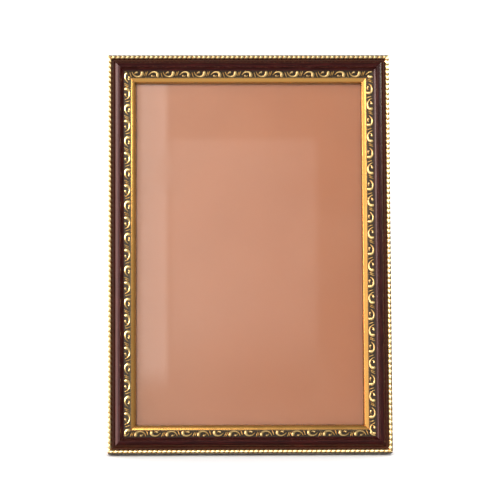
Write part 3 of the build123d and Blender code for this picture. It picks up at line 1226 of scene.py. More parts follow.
@dataclass
class MouldingRails:
    """The four maroon rails, with lacquer on their faces and bare wood behind."""

    axes: FaceAxes
    sizes: MouldingSizes
    finishes: Finishes
    arc_steps: int = 14
    foot_rounding: float = 0.4
    foot_bevel: float = 0.12

    def section(self) -> Section:
        """The rail's outline: lacquered from its outer foot to the lip, bare wood behind.

        Returns:
            The outline.
        """
        s = self.sizes
        lacquer, wood = 0, 1
        outline = Section()
        outline.at((s.rope_proud + self.foot_rounding, 0), lacquer)
        outline.at((s.rope_proud + self.foot_bevel, self.foot_bevel), lacquer)
        outline.at((s.rope_proud, self.foot_rounding), lacquer)
        # Groove marks give these faces the tone of dust, lightened as painted light.
        for place in ((s.rope_proud, s.rope_seat_height), (s.rope_diameter, s.rope_seat_height),
                      (s.rope_diameter, s.quirk_floor_height),
                      (s.swell_start - s.quirk_easing, s.quirk_floor_height)):
            outline.at(place, lacquer, groove=1)
        outline.at((s.swell_start, s.quirk_floor_height + s.quirk_easing), lacquer, groove=0.9)
        outline.at((s.swell_start, s.swell_foot_height), lacquer, arris=0.5, groove=0.2)
        crest = Vector((s.crest_place, s.crest_height))
        foot = Vector((s.swell_start, s.swell_foot_height))
        cove_end = Vector((s.strip_start, s.cove_foot_height))
        rise_end = crest - (crest - foot).normalized() * s.crest_easing
        cove_begin = crest + (cove_end - crest).normalized() * s.crest_easing
        outline.bow(tuple(rise_end), s.swell_rise, self.arc_steps, lacquer)
        outline.at(tuple(rise_end), lacquer, arris=0.8)
        outline.at((s.crest_place, s.crest_height - s.crest_drop), lacquer, arris=1)
        outline.at(tuple(cove_begin), lacquer, arris=0.8)
        outline.bow(tuple(cove_end), s.cove_rise, self.arc_steps, lacquer)
        outline.at(tuple(cove_end), lacquer, groove=0.6)
        for place in ((s.strip_start, s.strip_outer_height - s.strip_thickness),
                      (s.strip_end, s.strip_inner_height - s.strip_thickness),
                      (s.strip_end, s.lip_height), (s.wrap_start, s.lip_height),
                      (s.wrap_start, s.rebate_height), (s.strip_end, s.rebate_height), (s.strip_end, 0)):
            outline.at(place, wood)
        return outline

    def build(self) -> None:
        """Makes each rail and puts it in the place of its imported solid."""
        outline = self.section()
        s = self.sizes
        for side in RailSide:
            name = f"moulding_{side.word}"
            mesh = outline.swept(name, self.axes.half_length(side), s.joint_gap, s.joint_relief,
                                 (self.finishes.lacquer, self.finishes.bare_wood))
            add_piece(name, mesh, self.axes.on_rail(side), "frame",
                      f"rail_{side.word}")


@dataclass
class SightFillets:
    """The four polished gilt fillets beside the glass."""

    axes: FaceAxes
    sizes: MouldingSizes
    finishes: Finishes
    arc_steps: int = 12
    edge_easing: float = 0.16

    def section(self) -> Section:
        """The fillet's outline: a crowned face that drops to the glass, its relief marks falling down the
        drop so that its gilding darkens there as painted shade.

        Returns:
            The outline.
        """
        s = self.sizes
        inner, easing = (s.fillet_drop_start, s.fillet_inner_height), self.edge_easing
        outline = Section()
        outline.at((s.strip_end, s.lip_height))
        outline.at((s.strip_end, s.fillet_outer_height), arris=0.1)
        outline.bow(inner, s.fillet_rise, self.arc_steps, arris=1)
        outline.at(inner, arris=0.7)
        # Low relief marks down the drop darken its gilding: painted shade beside the glass.
        outline.at((inner[0] + easing, inner[1] - easing), arris=0.32)
        outline.at((s.width, s.fillet_edge_height), arris=0.1)
        outline.at((s.width, s.rebate_height))
        outline.at((s.wrap_start, s.rebate_height))
        outline.at((s.wrap_start, s.lip_height))
        return outline

    def build(self) -> None:
        """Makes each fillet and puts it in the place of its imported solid."""
        outline = self.section()
        s = self.sizes
        for side in RailSide:
            name = f"gilt_fillet_{side.word}"
            mesh = outline.swept(name, self.axes.half_length(side), s.joint_gap, s.joint_relief,
                                 (self.finishes.polished,))
            mesh.attributes["arris"].name = "relief"
            add_piece(name, mesh, self.axes.on_rail(side), "frame",
                      f"sight_fillet_{side.word}")


def cut_mitres(mesh: bpy.types.Mesh, half_length: float, gap: float) -> None:
    """Cuts a mesh drawn in a rail's axes at both mitres and closes the cuts.

    Args:
        mesh: The mesh to cut.
        half_length: Half the rail's length at its outer edge.
        gap: How far each end stays from the mitre's plane.
    """
    with reworked(mesh, mesh) as work:
        for end in (-1, 1):
            parts = [*work.verts, *work.edges, *work.faces]
            place, normal = (end * (half_length - gap), 0, 0), Vector((end, 1, 0)).normalized()
            bmesh.ops.bisect_plane(
                work, geom=parts, dist=CUT, plane_co=place, plane_no=normal, clear_outer=True)
            open_edges = [e for e in work.edges if e.is_boundary]
            if open_edges:
                bmesh.ops.holes_fill(work, edges=open_edges, sides=0)
        bmesh.ops.recalc_face_normals(work, faces=work.faces)


@dataclass
class RopeBeads:
    """The gilt twisted rope along the frame's outer edge, in millimetres."""

    axes: FaceAxes
    sizes: MouldingSizes
    finishes: Finishes
    lay_across: float = 4.15
    lay_up: float = 4.36
    groove_share: float = 0.2
    groove_sharpness: float = 0.75
    sides: int = 36
    step: float = 0.36
    smooth_angle: float = 60.0

    def twisted_bar(self) -> GeometryTree:
        """A twisted bar with a flat underside.

        Returns:
            The tree that makes it.
        """
        tree = GeometryTree("twisted_rope", {
            "Float": ("Length", "Radius", "Lay", "Groove Share", "Groove Sharpness", "Step",
                      "Flat Height"),
            "Int": ("Sides",)})
        given = tree.given
        half = tree.times(given["Length"], 0.5)
        line = tree.out("GeometryNodeCurvePrimitiveLine", {
            "Start": tree.vector(tree.times(half, -1.0)), "End": tree.vector(half)})
        spaced = tree.out(
            "GeometryNodeResampleCurve", {"Curve": line, "Length": given["Step"]}, mode="LENGTH")
        place = tree.out("GeometryNodeInputPosition")
        here = tree.parts(place)
        turn = tree.times(tree.math("DIVIDE", here["X"], given["Lay"]), 2 * math.pi)
        twisted = tree.out("GeometryNodeSetCurveTilt", {"Curve": spaced, "Tilt": turn})
        angle = tree.math("ARCTAN2", here["Y"], here["X"])
        lobe = tree.math("ABSOLUTE", tree.math("COSINE", tree.times(angle, 0.5)))
        lobe = tree.math("POWER", lobe, given["Groove Sharpness"])
        scale = tree.minus(1.0, tree.times(tree.minus(1.0, lobe), given["Groove Share"]))
        drawn_in = tree.lengthened(place, scale)
        section = tree.drawn_at(tree.marked(tree.circle(given["Sides"], given["Radius"]), lobe), drawn_in)
        bar = tree.out("GeometryNodeCurveToMesh", {
            "Curve": twisted, "Profile Curve": section, "Fill Caps": True})
        height = tree.math("MAXIMUM", here["Z"], given["Flat Height"])
        tree.close(tree.drawn_at(bar, tree.vector(here["X"], here["Y"], height)))
        return tree

    def build(self) -> None:
        """Twists a rope for each rail, cuts its mitres and seats it."""
        s = self.sizes
        tree = self.twisted_bar()
        radius = s.rope_diameter / 2
        for side in RailSide:
            name = f"twisted_rope_{side.word}"
            half_length = self.axes.half_length(side)
            mesh = tree.made(name, {
                "Length": 2 * half_length, "Radius": radius,
                "Lay": -(self.lay_up if side.upright else self.lay_across),
                "Groove Share": self.groove_share, "Groove Sharpness": self.groove_sharpness,
                "Sides": self.sides, "Step": self.step, "Flat Height": s.rope_flat_depth - radius,
                "Material": self.finishes.rope})
            seat = (0, radius, s.rope_seat_height - s.rope_flat_depth + radius)
            mesh.transform(Matrix.Translation(seat))
            cut_mitres(mesh, half_length, s.joint_gap)
            smooth(mesh, self.smooth_angle)
            add_piece(name, mesh, self.axes.on_rail(side), "frame", f"rope_bead_{side.word}")


@dataclass(frozen=True)
class Stroke:
    """One raised stroke.

    Attributes:
        points: Along the strip, across it from its outer edge, and half width.
        ball: Whether it starts in a round eye.
    """

    points: tuple[Triple, ...]
    ball: bool = False


@dataclass
class RunningScrolls:
    """The antique strip of running scrolls: arches and bowls by turns, with strokes between."""

    axes: FaceAxes
    sizes: MouldingSizes
    finishes: Finishes
    pitch_across: float = 26.98
    pitch_up: float = 28.2
    drawn_pitch: float = 27.5
    relief_share: float = 0.8
    embedded: float = 0.12
    relief_foot: float = 0.3
    relief_slope: float = 1.1
    # Relief marks at the ground's outer and inner edges; the higher inner one paints sheen by the lip.
    ground_tones: Point = (-0.34, 0.16)
    ground_relief: float = 0.05
    sides: int = 12
    span_steps: int = 5
    ball_angles: tuple[int, ...] = (82, 62, 42, 20)
    tip_angles: tuple[int, ...] = (75, 40)
    smooth_angle: float = 60.0
    strokes: tuple[Stroke, ...] = (
        Stroke(((1.3, 1.6, 1.45), (1.4, 2.8, 1.5), (2.3, 4.1, 1.15), (3.9, 4.9, 0.85), (5.9, 5.0, 0.74),
                (7.9, 4.3, 0.64), (9.4, 2.9, 0.5), (10.2, 1.2, 0.34)), True),
        Stroke(((6.0, 1.3, 1.0), (7.2, 1.7, 0.6), (7.8, 2.6, 0.4)), True),
        Stroke(((10.9, 5.5, 0.3), (11.5, 3.9, 0.5), (12.1, 1.9, 0.36))),
        Stroke(((15.2, 4.5, 1.4), (15.1, 3.1, 1.45), (15.9, 1.8, 1.12), (17.5, 1.1, 0.82),
                (19.6, 1.15, 0.7), (21.4, 2.0, 0.56), (22.9, 3.5, 0.36)), True),
        Stroke(((20.2, 4.4, 0.95), (19.1, 4.8, 0.58), (17.9, 4.4, 0.4)), True),
        Stroke(((24.1, 0.6, 0.28), (24.8, 2.3, 0.46), (25.6, 4.2, 0.28))),
        Stroke(((25.6, 1.0, 0.24), (26.2, 2.6, 0.4), (27.0, 4.4, 0.24))),
    )
    repeat_starts: tuple[tuple[RailSide, float], ...] = (
        (RailSide.BOTTOM, 8.4), (RailSide.RIGHT, 11.3), (RailSide.TOP, 10.2), (RailSide.LEFT, -3.4),
    )

    def smoothed(self, stroke: Stroke) -> list[Vector]:
        """Points along a stroke on a smooth way, each with its half width as a fourth number.

        Args:
            stroke: The stroke as drawn.

        Returns:
            Vectors of along, across, zero and half width.
        """
        drawn = [Vector((u, v, 0, r)) for u, v, r in stroke.points]
        padded = [drawn[0] * 2 - drawn[1], *drawn, drawn[-1] * 2 - drawn[-2]]
        way = []
        for i in range(1, len(padded) - 2):
            a, b, c, d = padded[i - 1 : i + 3]
            for step in range(self.span_steps):
                t = step / self.span_steps
                way.append(0.5 * ((2 * b) + (c - a) * t + (2 * a - 5 * b + 4 * c - d) * t * t
                                  + (3 * b - a - 3 * c + d) * t ** 3))
        way.append(drawn[-1])
        first = self.rounded_end(way[0], way[1], self.ball_angles if stroke.ball else self.tip_angles)
        last = self.rounded_end(way[-1], way[-2], self.tip_angles)
        return [*first, *way, *reversed(last)]

    @staticmethod
    def rounded_end(tip: Vector, following: Vector, angles: Sequence[int]) -> list[Vector]:
        """Points that round off a stroke's end.

        Args:
            tip: The stroke's last point.
            following: The point next to it.
            angles: Degrees round the end, outermost first.

        Returns:
            The points, outermost first.
        """
        away = (tip.xyz - following.xyz).normalized()
        ends = []
        for angle in map(math.radians, angles):
            place = tip.xyz + away * tip.w * math.sin(angle)
            ends.append(Vector((*place, tip.w * math.cos(angle))))
        return ends

    def motif(self) -> bpy.types.Object:
        """One repeat of the scrolls.

        Returns:
            A curve object with a spline for each stroke.
        """
        data = bpy.data.curves.new("scroll_repeat", "CURVE")
        data.dimensions = "3D"
        for stroke in self.strokes:
            way = self.smoothed(stroke)
            spline = data.splines.new("POLY")
            spline.points.add(len(way) - 1)
            for point, place in zip(spline.points, way):
                point.co = (place.x, place.y, 0, 1)
                point.radius = place.w
        curve = bpy.data.objects.new("scroll_repeat", data)
        bpy.context.scene.collection.objects.link(curve)
        return curve

    def repeated(self) -> GeometryTree:
        """Raised strokes of one repeat, set again and again along the strip.

        Returns:
            The tree that makes them.
        """
        tree = GeometryTree("running_scrolls", {
            "Object": ("Repeat",), "Int": ("Count", "Sides"),
            "Float": ("Pitch", "Start", "Drawn Pitch", "Relief Share", "Embedded", "Relief Foot",
                      "Relief Slope")})
        given = tree.given
        curve = tree.add("GeometryNodeObjectInfo", {"Object": given["Repeat"]}).outputs["Geometry"]
        tubes = tree.out("GeometryNodeCurveToMesh", {
            "Curve": curve, "Profile Curve": tree.circle(given["Sides"], 1.0),
            "Scale": tree.out("GeometryNodeInputRadius"), "Fill Caps": True})
        here = tree.parts(tree.out("GeometryNodeInputPosition"))
        raised = tree.math("MAXIMUM", tree.times(here["Z"], given["Relief Share"]),
                           tree.times(given["Embedded"], -1.0))
        stretch = tree.math("DIVIDE", given["Pitch"], given["Drawn Pitch"])
        relief = tree.plus(tree.times(raised, given["Relief Slope"]), given["Relief Foot"])
        repeat = tree.drawn_at(tree.marked(tubes, relief), tree.vector(
            tree.times(here["X"], stretch), here["Y"], raised))
        places = tree.out("GeometryNodeMeshLine", {
            "Count": given["Count"], "Start Location": tree.vector(given["Start"]),
            "Offset": tree.vector(given["Pitch"])})
        tree.close(tree.out("GeometryNodeInstanceOnPoints", {"Points": places, "Instance": repeat}))
        return tree

    def ground(self, name: str, half_length: float) -> bpy.types.Mesh:
        """The strip's dark ground, sloping to the glass, its relief marks rising towards the lip so that
        its gilding shows there as painted sheen.

        Args:
            name: The mesh's name.
            half_length: Half the rail's length at its outer edge.

        Returns:
            A closed mesh in the rail's own axes.
        """
        s = self.sizes
        # The ground's gilding grows towards the lip: painted sheen.
        outer_tone, inner_tone = self.ground_tones
        outline = Section()
        outline.at((s.strip_start, s.strip_outer_height - s.strip_thickness), arris=outer_tone)
        outline.at((s.strip_start, s.strip_outer_height), arris=outer_tone)
        outline.at((s.strip_end, s.strip_inner_height), arris=inner_tone)
        outline.at((s.strip_end, s.strip_inner_height - s.strip_thickness), arris=inner_tone)
        mesh = outline.swept(name, half_length, s.joint_gap, self.ground_relief, (self.finishes.antique,))
        mesh.attributes["arris"].name = "relief"
        return mesh

    def build(self) -> None:
        """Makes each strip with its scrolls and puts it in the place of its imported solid."""
        s = self.sizes
        tree = self.repeated()
        repeat = self.motif()
        rise = s.strip_inner_height - s.strip_outer_height
        slope = math.atan2(rise, s.strip_end - s.strip_start)
        seat = Matrix.Translation((0, s.strip_start, s.strip_outer_height))
        seat = seat @ Matrix.Rotation(slope, 4, "X")
        for side, start in self.repeat_starts:
            name = f"running_scrolls_{side.word}"
            half_length = self.axes.half_length(side)
            pitch = self.pitch_up if side.upright else self.pitch_across
            count = math.ceil(half_length / pitch + 1) * 2
            scrolls = tree.made(name, {
                "Repeat": repeat, "Count": count, "Pitch": pitch, "Start": start - count / 2 * pitch,
                "Drawn Pitch": self.drawn_pitch, "Sides": self.sides, "Relief Share": self.relief_share,
                "Embedded": self.embedded, "Relief Foot": self.relief_foot,
                "Relief Slope": self.relief_slope, "Material": self.finishes.antique})
            scrolls.transform(seat)
            cut_mitres(scrolls, half_length, s.joint_gap)
            smooth(scrolls, self.smooth_angle)
            ground = self.ground(f"{name}_ground", half_length)
            with reworked(scrolls, scrolls) as work:
                work.from_mesh(ground)
            add_piece(name, scrolls, self.axes.on_rail(side), "frame",
                      f"scroll_strip_{side.word}")
        bpy.data.objects.remove(repeat)


@dataclass
class Glazing:
    """The glass and the tan sheet, each a hair thinner than its space, and the backing board."""

    axes: FaceAxes
    finishes: Finishes
    slack: float = 0.04

    def thinned(self, node: str, name: str, material: bpy.types.Material) -> None:
        """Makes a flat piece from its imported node, with a little air on both faces.

        Args:
            node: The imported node.
            name: The piece's name.
            material: Its finish.
        """
        mesh = bpy.data.meshes.new(name)
        low, high = FaceAxes.reach([node], self.axes.normal)
        with reworked(frame["nodes"][node].data, mesh, merged=True) as work:
            for vertex in work.verts:
                above = vertex.co.dot(self.axes.normal) > (low + high) / 2
                vertex.co += self.axes.normal * (-1 if above else 1) * self.slack * MM
        mesh.materials.append(material)
        add_piece(name, mesh, None, "frame", node)

    def build(self) -> None:
        """Makes the glass and the sheet and gives the board its finish."""
        self.thinned("glass_pane", "glass", self.finishes.glass)
        self.thinned("picture_sheet", "sheet_behind_glass", self.finishes.tan_sheet)
        board = frame["nodes"]["backing_board"].data
        board.materials.clear()
        board.materials.append(self.finishes.board)
        log.info("backing_board: dressed as %s", self.finishes.board.name)


def shells(node: str, placing: Matrix) -> list[tuple[Vector, Vector]]:
    """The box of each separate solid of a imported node, on a drawing's axes.

    Args:
        node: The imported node.
        placing: The matrix that places such a drawing in the frame.

    Returns:
        Each solid's least and greatest corner, in millimetres.
    """
    drawn = placing.inverted()
    boxes = []
    with reworked(frame["nodes"][node].data, merged=True) as work:
        left = set(work.verts)
        for first in work.verts:
            if first not in left:
                continue
            left.discard(first)
            shell, edge = [], [first]
            while edge:
                vertex = edge.pop()
                shell.append(drawn @ vertex.co)
                for link in vertex.link_edges:
                    other = link.other_vert(vertex)
                    if other in left:
                        left.discard(other)
                        edge.append(other)
            low, high = (Vector(pick(v[i] for v in shell) for i in range(3)) for pick in (min, max))
            boxes.append((low, high))
    return boxes


@dataclass(frozen=True)
class HeadedFastener:
    """A screw or rivet with a domed head, in millimetres.

    Attributes:
        node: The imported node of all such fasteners.
        name: The piece's name.
        body: The body that they ride on.
        plate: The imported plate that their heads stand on.
        head_radius: The head's radius.
        head_height: The head's height.
        boxiness: How square the dome's shoulder is; 2 is a plain ellipse.
        shank_radius: The shank's radius.
        end_radius: The far end's radius where it leaves the shank.
        tip_radius: The far end's radius at its tip.
        end_length: The far end's length.
        slotted: Whether the head has a slot.
    """

    node: str
    name: str
    body: str
    plate: str
    head_radius: float = 2.2
    head_height: float = 0.8
    boxiness: float = 2.3
    shank_radius: float = 1.2
    end_radius: float = 2.0
    tip_radius: float = 2.0
    end_length: float = 0.7
    slotted: bool = False


@dataclass
class Fasteners:
    """Screws, rivets and V-nails, each shape made once and set on its measured places."""

    axes: FaceAxes
    finishes: Finishes
    sides: int = 28
    dome_rings: int = 14
    rim_level: float = 0.001
    slot_width: float = 0.7
    slot_depth: float = 0.6
    slot_reach: float = 3.0
    slot_turns: float = 1.9
    seed: int = 4
    smooth_angle: float = 40.0
    nail_thickness: float = 0.7
    nail_proud: float = 0.05
    kinds: tuple[HeadedFastener, ...] = (
        HeadedFastener("turn_button_screws", "slotted_screws", "frame", "backing_board",
                       2.7, 1.5, 2.7, 1.4, 1.4, 0.2, 2.6, True),
        HeadedFastener("hanger_rivets", "strap_rivets", "frame", "backing_board"),
        HeadedFastener("strut_leaf_rivets", "fixed_leaf_rivets", "frame", "backing_board"),
        HeadedFastener("strut_leg_rivets", "leg_rivets", "strut", "strut_leg"),
    )

    @staticmethod
    def spots(name: str, places: Sequence[Vector], turns: Sequence[float]) -> bpy.types.Object:
        """Bare points for a tree to set shapes on.

        Args:
            name: The object's name.
            places: The points.
            turns: Each point's turn about Z, in radians.

        Returns:
            An object whose mesh is the points.
        """
        mesh = bpy.data.meshes.new(name)
        mesh.from_pydata(places, [], [])
        mesh.attributes.new("turn", "FLOAT", "POINT").data.foreach_set("value", turns)
        spots = bpy.data.objects.new(name, mesh)
        bpy.context.scene.collection.objects.link(spots)
        return spots

    @staticmethod
    def set_on_places(tree: GeometryTree, shape: object, extra_turn: object = 0.0) -> None:
        """Ends a tree with a shape on every place, turned as the place says.

        Args:
            tree: The tree.
            shape: The shape.
            extra_turn: A further turn about Z, in radians.
        """
        places = tree.add("GeometryNodeObjectInfo", {"Object": tree.given["Places"]}).outputs["Geometry"]
        turn = tree.add("GeometryNodeInputNamedAttribute", {"Name": "turn"}).outputs["Attribute"]
        turned = tree.out("FunctionNodeAxisAngleToRotation", {
            "Axis": (0, 0, 1), "Angle": tree.plus(turn, extra_turn)})
        tree.close(tree.out("GeometryNodeInstanceOnPoints", {
            "Points": places, "Instance": shape, "Rotation": turned}))

    def headed(self) -> GeometryTree:
        """A domed head, with or without a slot, on a shank with a spread or pointed end.

        Returns:
            The tree that makes it and sets it on its places.
        """
        tree = GeometryTree("headed_fasteners", {
            "Object": ("Places",), "Bool": ("Slotted",), "Int": ("Seed", "Sides"),
            "Float": ("Head Radius", "Head Height", "Boxiness", "Shank Radius", "Length", "End Radius",
                      "Tip Radius", "End Length", "Slot Width", "Slot Depth", "Slot Turns")})
        given = tree.given
        ball = tree.out("GeometryNodeMeshUVSphere", {
            "Segments": given["Sides"], "Rings": self.dome_rings, "Radius": 1.0})
        here = tree.parts(tree.out("GeometryNodeInputPosition"))
        flat = tree.vector(here["X"], here["Y"])
        reach = tree.add("ShaderNodeVectorMath", {0: flat}, operation="LENGTH").outputs["Value"]
        rise = tree.math("MAXIMUM", here["Z"], 0.0)
        square = tree.plus(*(tree.math("POWER", part, given["Boxiness"]) for part in (reach, rise)))
        swell = tree.math("POWER", square, tree.math("DIVIDE", -1.0, given["Boxiness"]))
        wide = tree.times(swell, given["Head Radius"])
        shaped = tree.vector(tree.times(here["X"], wide), tree.times(here["Y"], wide),
                             tree.times(rise, swell, given["Head Height"]))
        domed = tree.drawn_at(ball, shaped, tree.math("GREATER_THAN", here["Z"], -self.rim_level))
        under = tree.lengthened(flat, given["Head Radius"])
        head = tree.drawn_at(domed, under, tree.math("LESS_THAN", here["Z"], -self.rim_level))
        slot_size = tree.vector(tree.times(given["Head Radius"], self.slot_reach), given["Slot Width"],
                                tree.times(given["Slot Depth"], 2.0))
        slot = tree.moved(tree.out("GeometryNodeMeshCube", {"Size": slot_size}),
                          tree.vector(z=given["Head Height"]))
        slotted = tree.out("GeometryNodeMeshBoolean", {"Mesh 1": head, "Mesh 2": slot},
                           operation="DIFFERENCE")
        chosen = tree.out("GeometryNodeSwitch", {
            "Switch": given["Slotted"], "False": head, "True": slotted}, input_type="GEOMETRY")
        straight = tree.minus(given["Length"], given["End Length"])
        shank = self.barrel(tree, given["Shank Radius"], given["Shank Radius"], straight, 0.0)
        end = self.barrel(tree, given["End Radius"], given["Tip Radius"], given["End Length"], straight)
        turn = tree.add("FunctionNodeRandomValue", {
            "Min_001": 0.0, "Max_001": given["Slot Turns"], "Seed": given["Seed"]}, data_type="FLOAT")
        self.set_on_places(tree, tree.joined((chosen, shank, end)), tree.named(turn.outputs, "Value_001"))
        return tree

    @staticmethod
    def barrel(tree: GeometryTree, top: object, tip: object, length: object, depth: object) -> object:
        """A round bar that goes down from a depth, from one radius to another.

        Args:
            tree: The tree.
            top: Its upper radius.
            tip: Its lower radius.
            length: Its length.
            depth: How far down it starts.

        Returns:
            Its geometry.
        """
        cone = tree.out("GeometryNodeMeshCone", {
            "Vertices": tree.given["Sides"], "Radius Top": top, "Radius Bottom": tip, "Depth": length})
        return tree.moved(cone, tree.vector(z=tree.times(tree.plus(depth, length), -1.0)))

    def v_nails(self) -> GeometryTree:
        """Two thin legs square to each other from a corner.

        Returns:
            The tree that makes them and sets them on their places.
        """
        tree = GeometryTree("v_nails", {"Object": ("Places",), "Float": ("Leg", "Thickness", "Depth")})
        given = tree.given
        legs = []
        for along, aside in ((given["Leg"], given["Thickness"]), (given["Thickness"], given["Leg"])):
            size = tree.vector(along, aside, given["Depth"])
            cube = tree.out("GeometryNodeMeshCube", {"Size": size})
            legs.append(tree.moved(cube, tree.scaled(size, (-0.5, -0.5, 0.5))))
        self.set_on_places(tree, tree.joined(legs))
        return tree

    def build(self) -> None:
        """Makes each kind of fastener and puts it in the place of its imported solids."""
        tree = self.headed()
        for kind in self.kinds:
            placing = self.axes.on_plate(kind.plate)
            boxes = shells(kind.node, placing)
            seats = [Vector(((low.x + high.x) / 2, (low.y + high.y) / 2, high.z - kind.head_height))
                     for low, high in boxes]
            spots = self.spots(f"{kind.name}_places", seats, [0.0] * len(seats))
            mesh = tree.made(kind.name, {
                "Places": spots, "Head Radius": kind.head_radius, "Head Height": kind.head_height,
                "Boxiness": kind.boxiness, "Shank Radius": kind.shank_radius,
                "Length": seats[0].z - boxes[0][0].z, "End Radius": kind.end_radius,
                "Tip Radius": kind.tip_radius, "End Length": kind.end_length, "Slotted": kind.slotted,
                "Slot Width": self.slot_width, "Slot Depth": self.slot_depth,
                "Slot Turns": self.slot_turns, "Seed": self.seed, "Sides": self.sides,
                "Material": self.finishes.steel})
            bpy.data.objects.remove(spots)
            smooth(mesh, self.smooth_angle)
            add_piece(kind.name, mesh, placing, kind.body, kind.node)
        self.build_v_nails()

    def build_v_nails(self) -> None:
        """Presses the V-nails into the mitres, each with its point to the frame's corner."""
        placing = self.axes.on_face()
        quarter_turns = {(True, True): 0, (False, True): 1, (False, False): 2, (True, False): 3}
        places, turns = [], []
        for low, high in shells("corner_v_nails", placing):
            right, above = low.x + high.x > 0, low.y + high.y > 0
            corner = (high.x if right else low.x, high.y if above else low.y, low.z - self.nail_proud)
            places.append(Vector(corner))
            turns.append(quarter_turns[right, above] * math.pi / 2)
        spots = self.spots("v_nail_places", places, turns)
        mesh = self.v_nails().made("v_nails", {
            "Places": spots, "Leg": high.x - low.x, "Thickness": self.nail_thickness,
            "Depth": high.z - low.z, "Material": self.finishes.steel})
        bpy.data.objects.remove(spots)
        add_piece("v_nails", mesh, placing, "frame", "corner_v_nails")


@dataclass
class HangingRing:
    """The triangular wire ring in the strap's barrel, in millimetres."""

    axes: FaceAxes
    finishes: Finishes
    width: float = 21.0
    drop: float = 18.0
    bend_radius: float = 2.6
    wire_radius: float = 0.9
    sides: int = 20
    bend_steps: int = 10
    smooth_angle: float = 60.0

    def wire(self) -> GeometryTree:
        """Round wire along a triangle with rounded corners.

        Returns:
            The tree that makes it.
        """
        tree = GeometryTree("wire_ring", {
            "Float": ("Width", "Drop", "Bend Radius", "Wire Radius"), "Int": ("Sides", "Bend Steps")})
        given = tree.given
        side = tree.minus(1.0, tree.out("GeometryNodeInputIndex"))
        depth = tree.minus(tree.math("ABSOLUTE", side), 1.0)
        corner = tree.vector(tree.times(side, given["Width"], 0.5), z=tree.times(depth, given["Drop"]))
        bent = tree.out("GeometryNodeFilletCurve", {
            "Curve": tree.drawn_at(tree.circle(3, 1.0), corner), "Radius": given["Bend Radius"],
            "Count": given["Bend Steps"]}, mode="POLY")
        tree.close(tree.out("GeometryNodeCurveToMesh", {
            "Curve": bent, "Profile Curve": tree.circle(given["Sides"], given["Wire Radius"])}))
        return tree

    def build(self) -> None:
        """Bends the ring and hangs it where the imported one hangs."""
        mesh = self.wire().made("wire_ring", {
            "Width": self.width, "Drop": self.drop, "Bend Radius": self.bend_radius,
            "Wire Radius": self.wire_radius, "Sides": self.sides, "Bend Steps": self.bend_steps,
            "Material": self.finishes.nickel})
        upright = (Vector((1, 0, 0)), Vector((0, 1, 0)), Vector((0, 0, 1)))
        back = FaceAxes.reach(["hanger_ring"], upright[1])
        top = FaceAxes.reach(["hanger_ring"], upright[2])[1] - self.wire_radius * MM
        placing = self.axes.placed(*upright, Vector((self.axes.middle.x, sum(back) / 2, top)))
        smooth(mesh, self.smooth_angle)
        add_piece("wire_ring", mesh, placing, "ring", "hanger_ring")


@dataclass
class BackHardware:
    """Turn buttons, strap, hinge leaves, pin and leg, with their edges eased."""

    finishes: Finishes
    easing: float = 0.12
    pin_easing: float = 0.1
    leg_easing: float = 0.25
    easing_steps: int = 2
    flat_angle: float = 1.0
    edge_angle: float = 40.0
    smooth_angle: float = 50.0
    button_places: tuple[str, ...] = (
        "left_upper", "left_lower", "right_upper", "right_lower", "top", "bottom")

    def eased(self, node: str, name: str, body: str, slot: str, material: bpy.types.Material,
              easing: float) -> None:
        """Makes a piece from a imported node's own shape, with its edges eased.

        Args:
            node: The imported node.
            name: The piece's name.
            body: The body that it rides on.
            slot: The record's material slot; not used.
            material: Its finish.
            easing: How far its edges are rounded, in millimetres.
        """
        mesh = bpy.data.meshes.new(name)
        with reworked(frame["nodes"][node].data, mesh, merged=True) as work:
            bmesh.ops.dissolve_limit(
                work, angle_limit=math.radians(self.flat_angle), verts=work.verts, edges=work.edges)
            least = math.radians(self.edge_angle)
            sharp = [e for e in work.edges if len(e.link_faces) == 2 and e.calc_face_angle(0) > least]
            bmesh.ops.bevel(work, geom=sharp, offset=easing * MM, offset_type="OFFSET",
                            segments=self.easing_steps, profile=0.5, affect="EDGES", clamp_overlap=True)
        mesh.materials.append(material)
        smooth(mesh, self.smooth_angle)
        add_piece(name, mesh, None, body, node)

    def build(self) -> None:
        """Makes each piece of the hardware."""
        f = self.finishes
        for place in self.button_places:
            node = f"turn_button_{place}"
            self.eased(node, f"button_{place}", node, "brassed_steel", f.brassed, self.easing)
        self.eased("hanger_strap", "strap", "frame", "zinc_plate", f.zinc, self.easing)
        self.eased("strut_fixed_leaf", "fixed_leaf", "frame", "zinc_plate", f.zinc, self.easing)
        self.eased("strut_hinge_pin", "hinge_pin", "frame", "bright_steel", f.steel, self.pin_easing)
        self.eased("strut_moving_leaf", "moving_leaf", "strut", "zinc_plate", f.zinc, self.easing)
        self.eased("strut_leg", "leg", "strut", "hardboard", f.board, self.leg_easing)


@dataclass(frozen=True)
class Panel:
    """A soft light panel that shows only where it is mirrored, placed round the frame's middle.

    Attributes:
        name: The panel's name.
        turn: Degrees to the right of the face's normal.
        rise: Degrees above the floor's level.
        distance: Metres from the frame's middle.
        width: The panel's width in metres.
        height: The panel's height in metres.
        brightness: Its radiance.
        tint: Its colour.
        side: The end of the names of the pieces that it lights, or empty for all.
    """

    name: str
    turn: float
    rise: float
    distance: float
    width: float
    height: float
    brightness: float
    tint: Triple
    side: str = ""


@dataclass(frozen=True)
class MirroredPatch:
    """A pale patch of the room as the flat glass mirrors it, placed by its slopes from the normal.

    Attributes:
        across: Its left and right edges.
        up: Its lower and upper edges.
        side_softness: How far its left and right edges fade.
        end_softness: How far its lower edge fades.
        brightness: Its radiance.
    """

    across: Point
    up: Point
    side_softness: float
    end_softness: float
    brightness: float


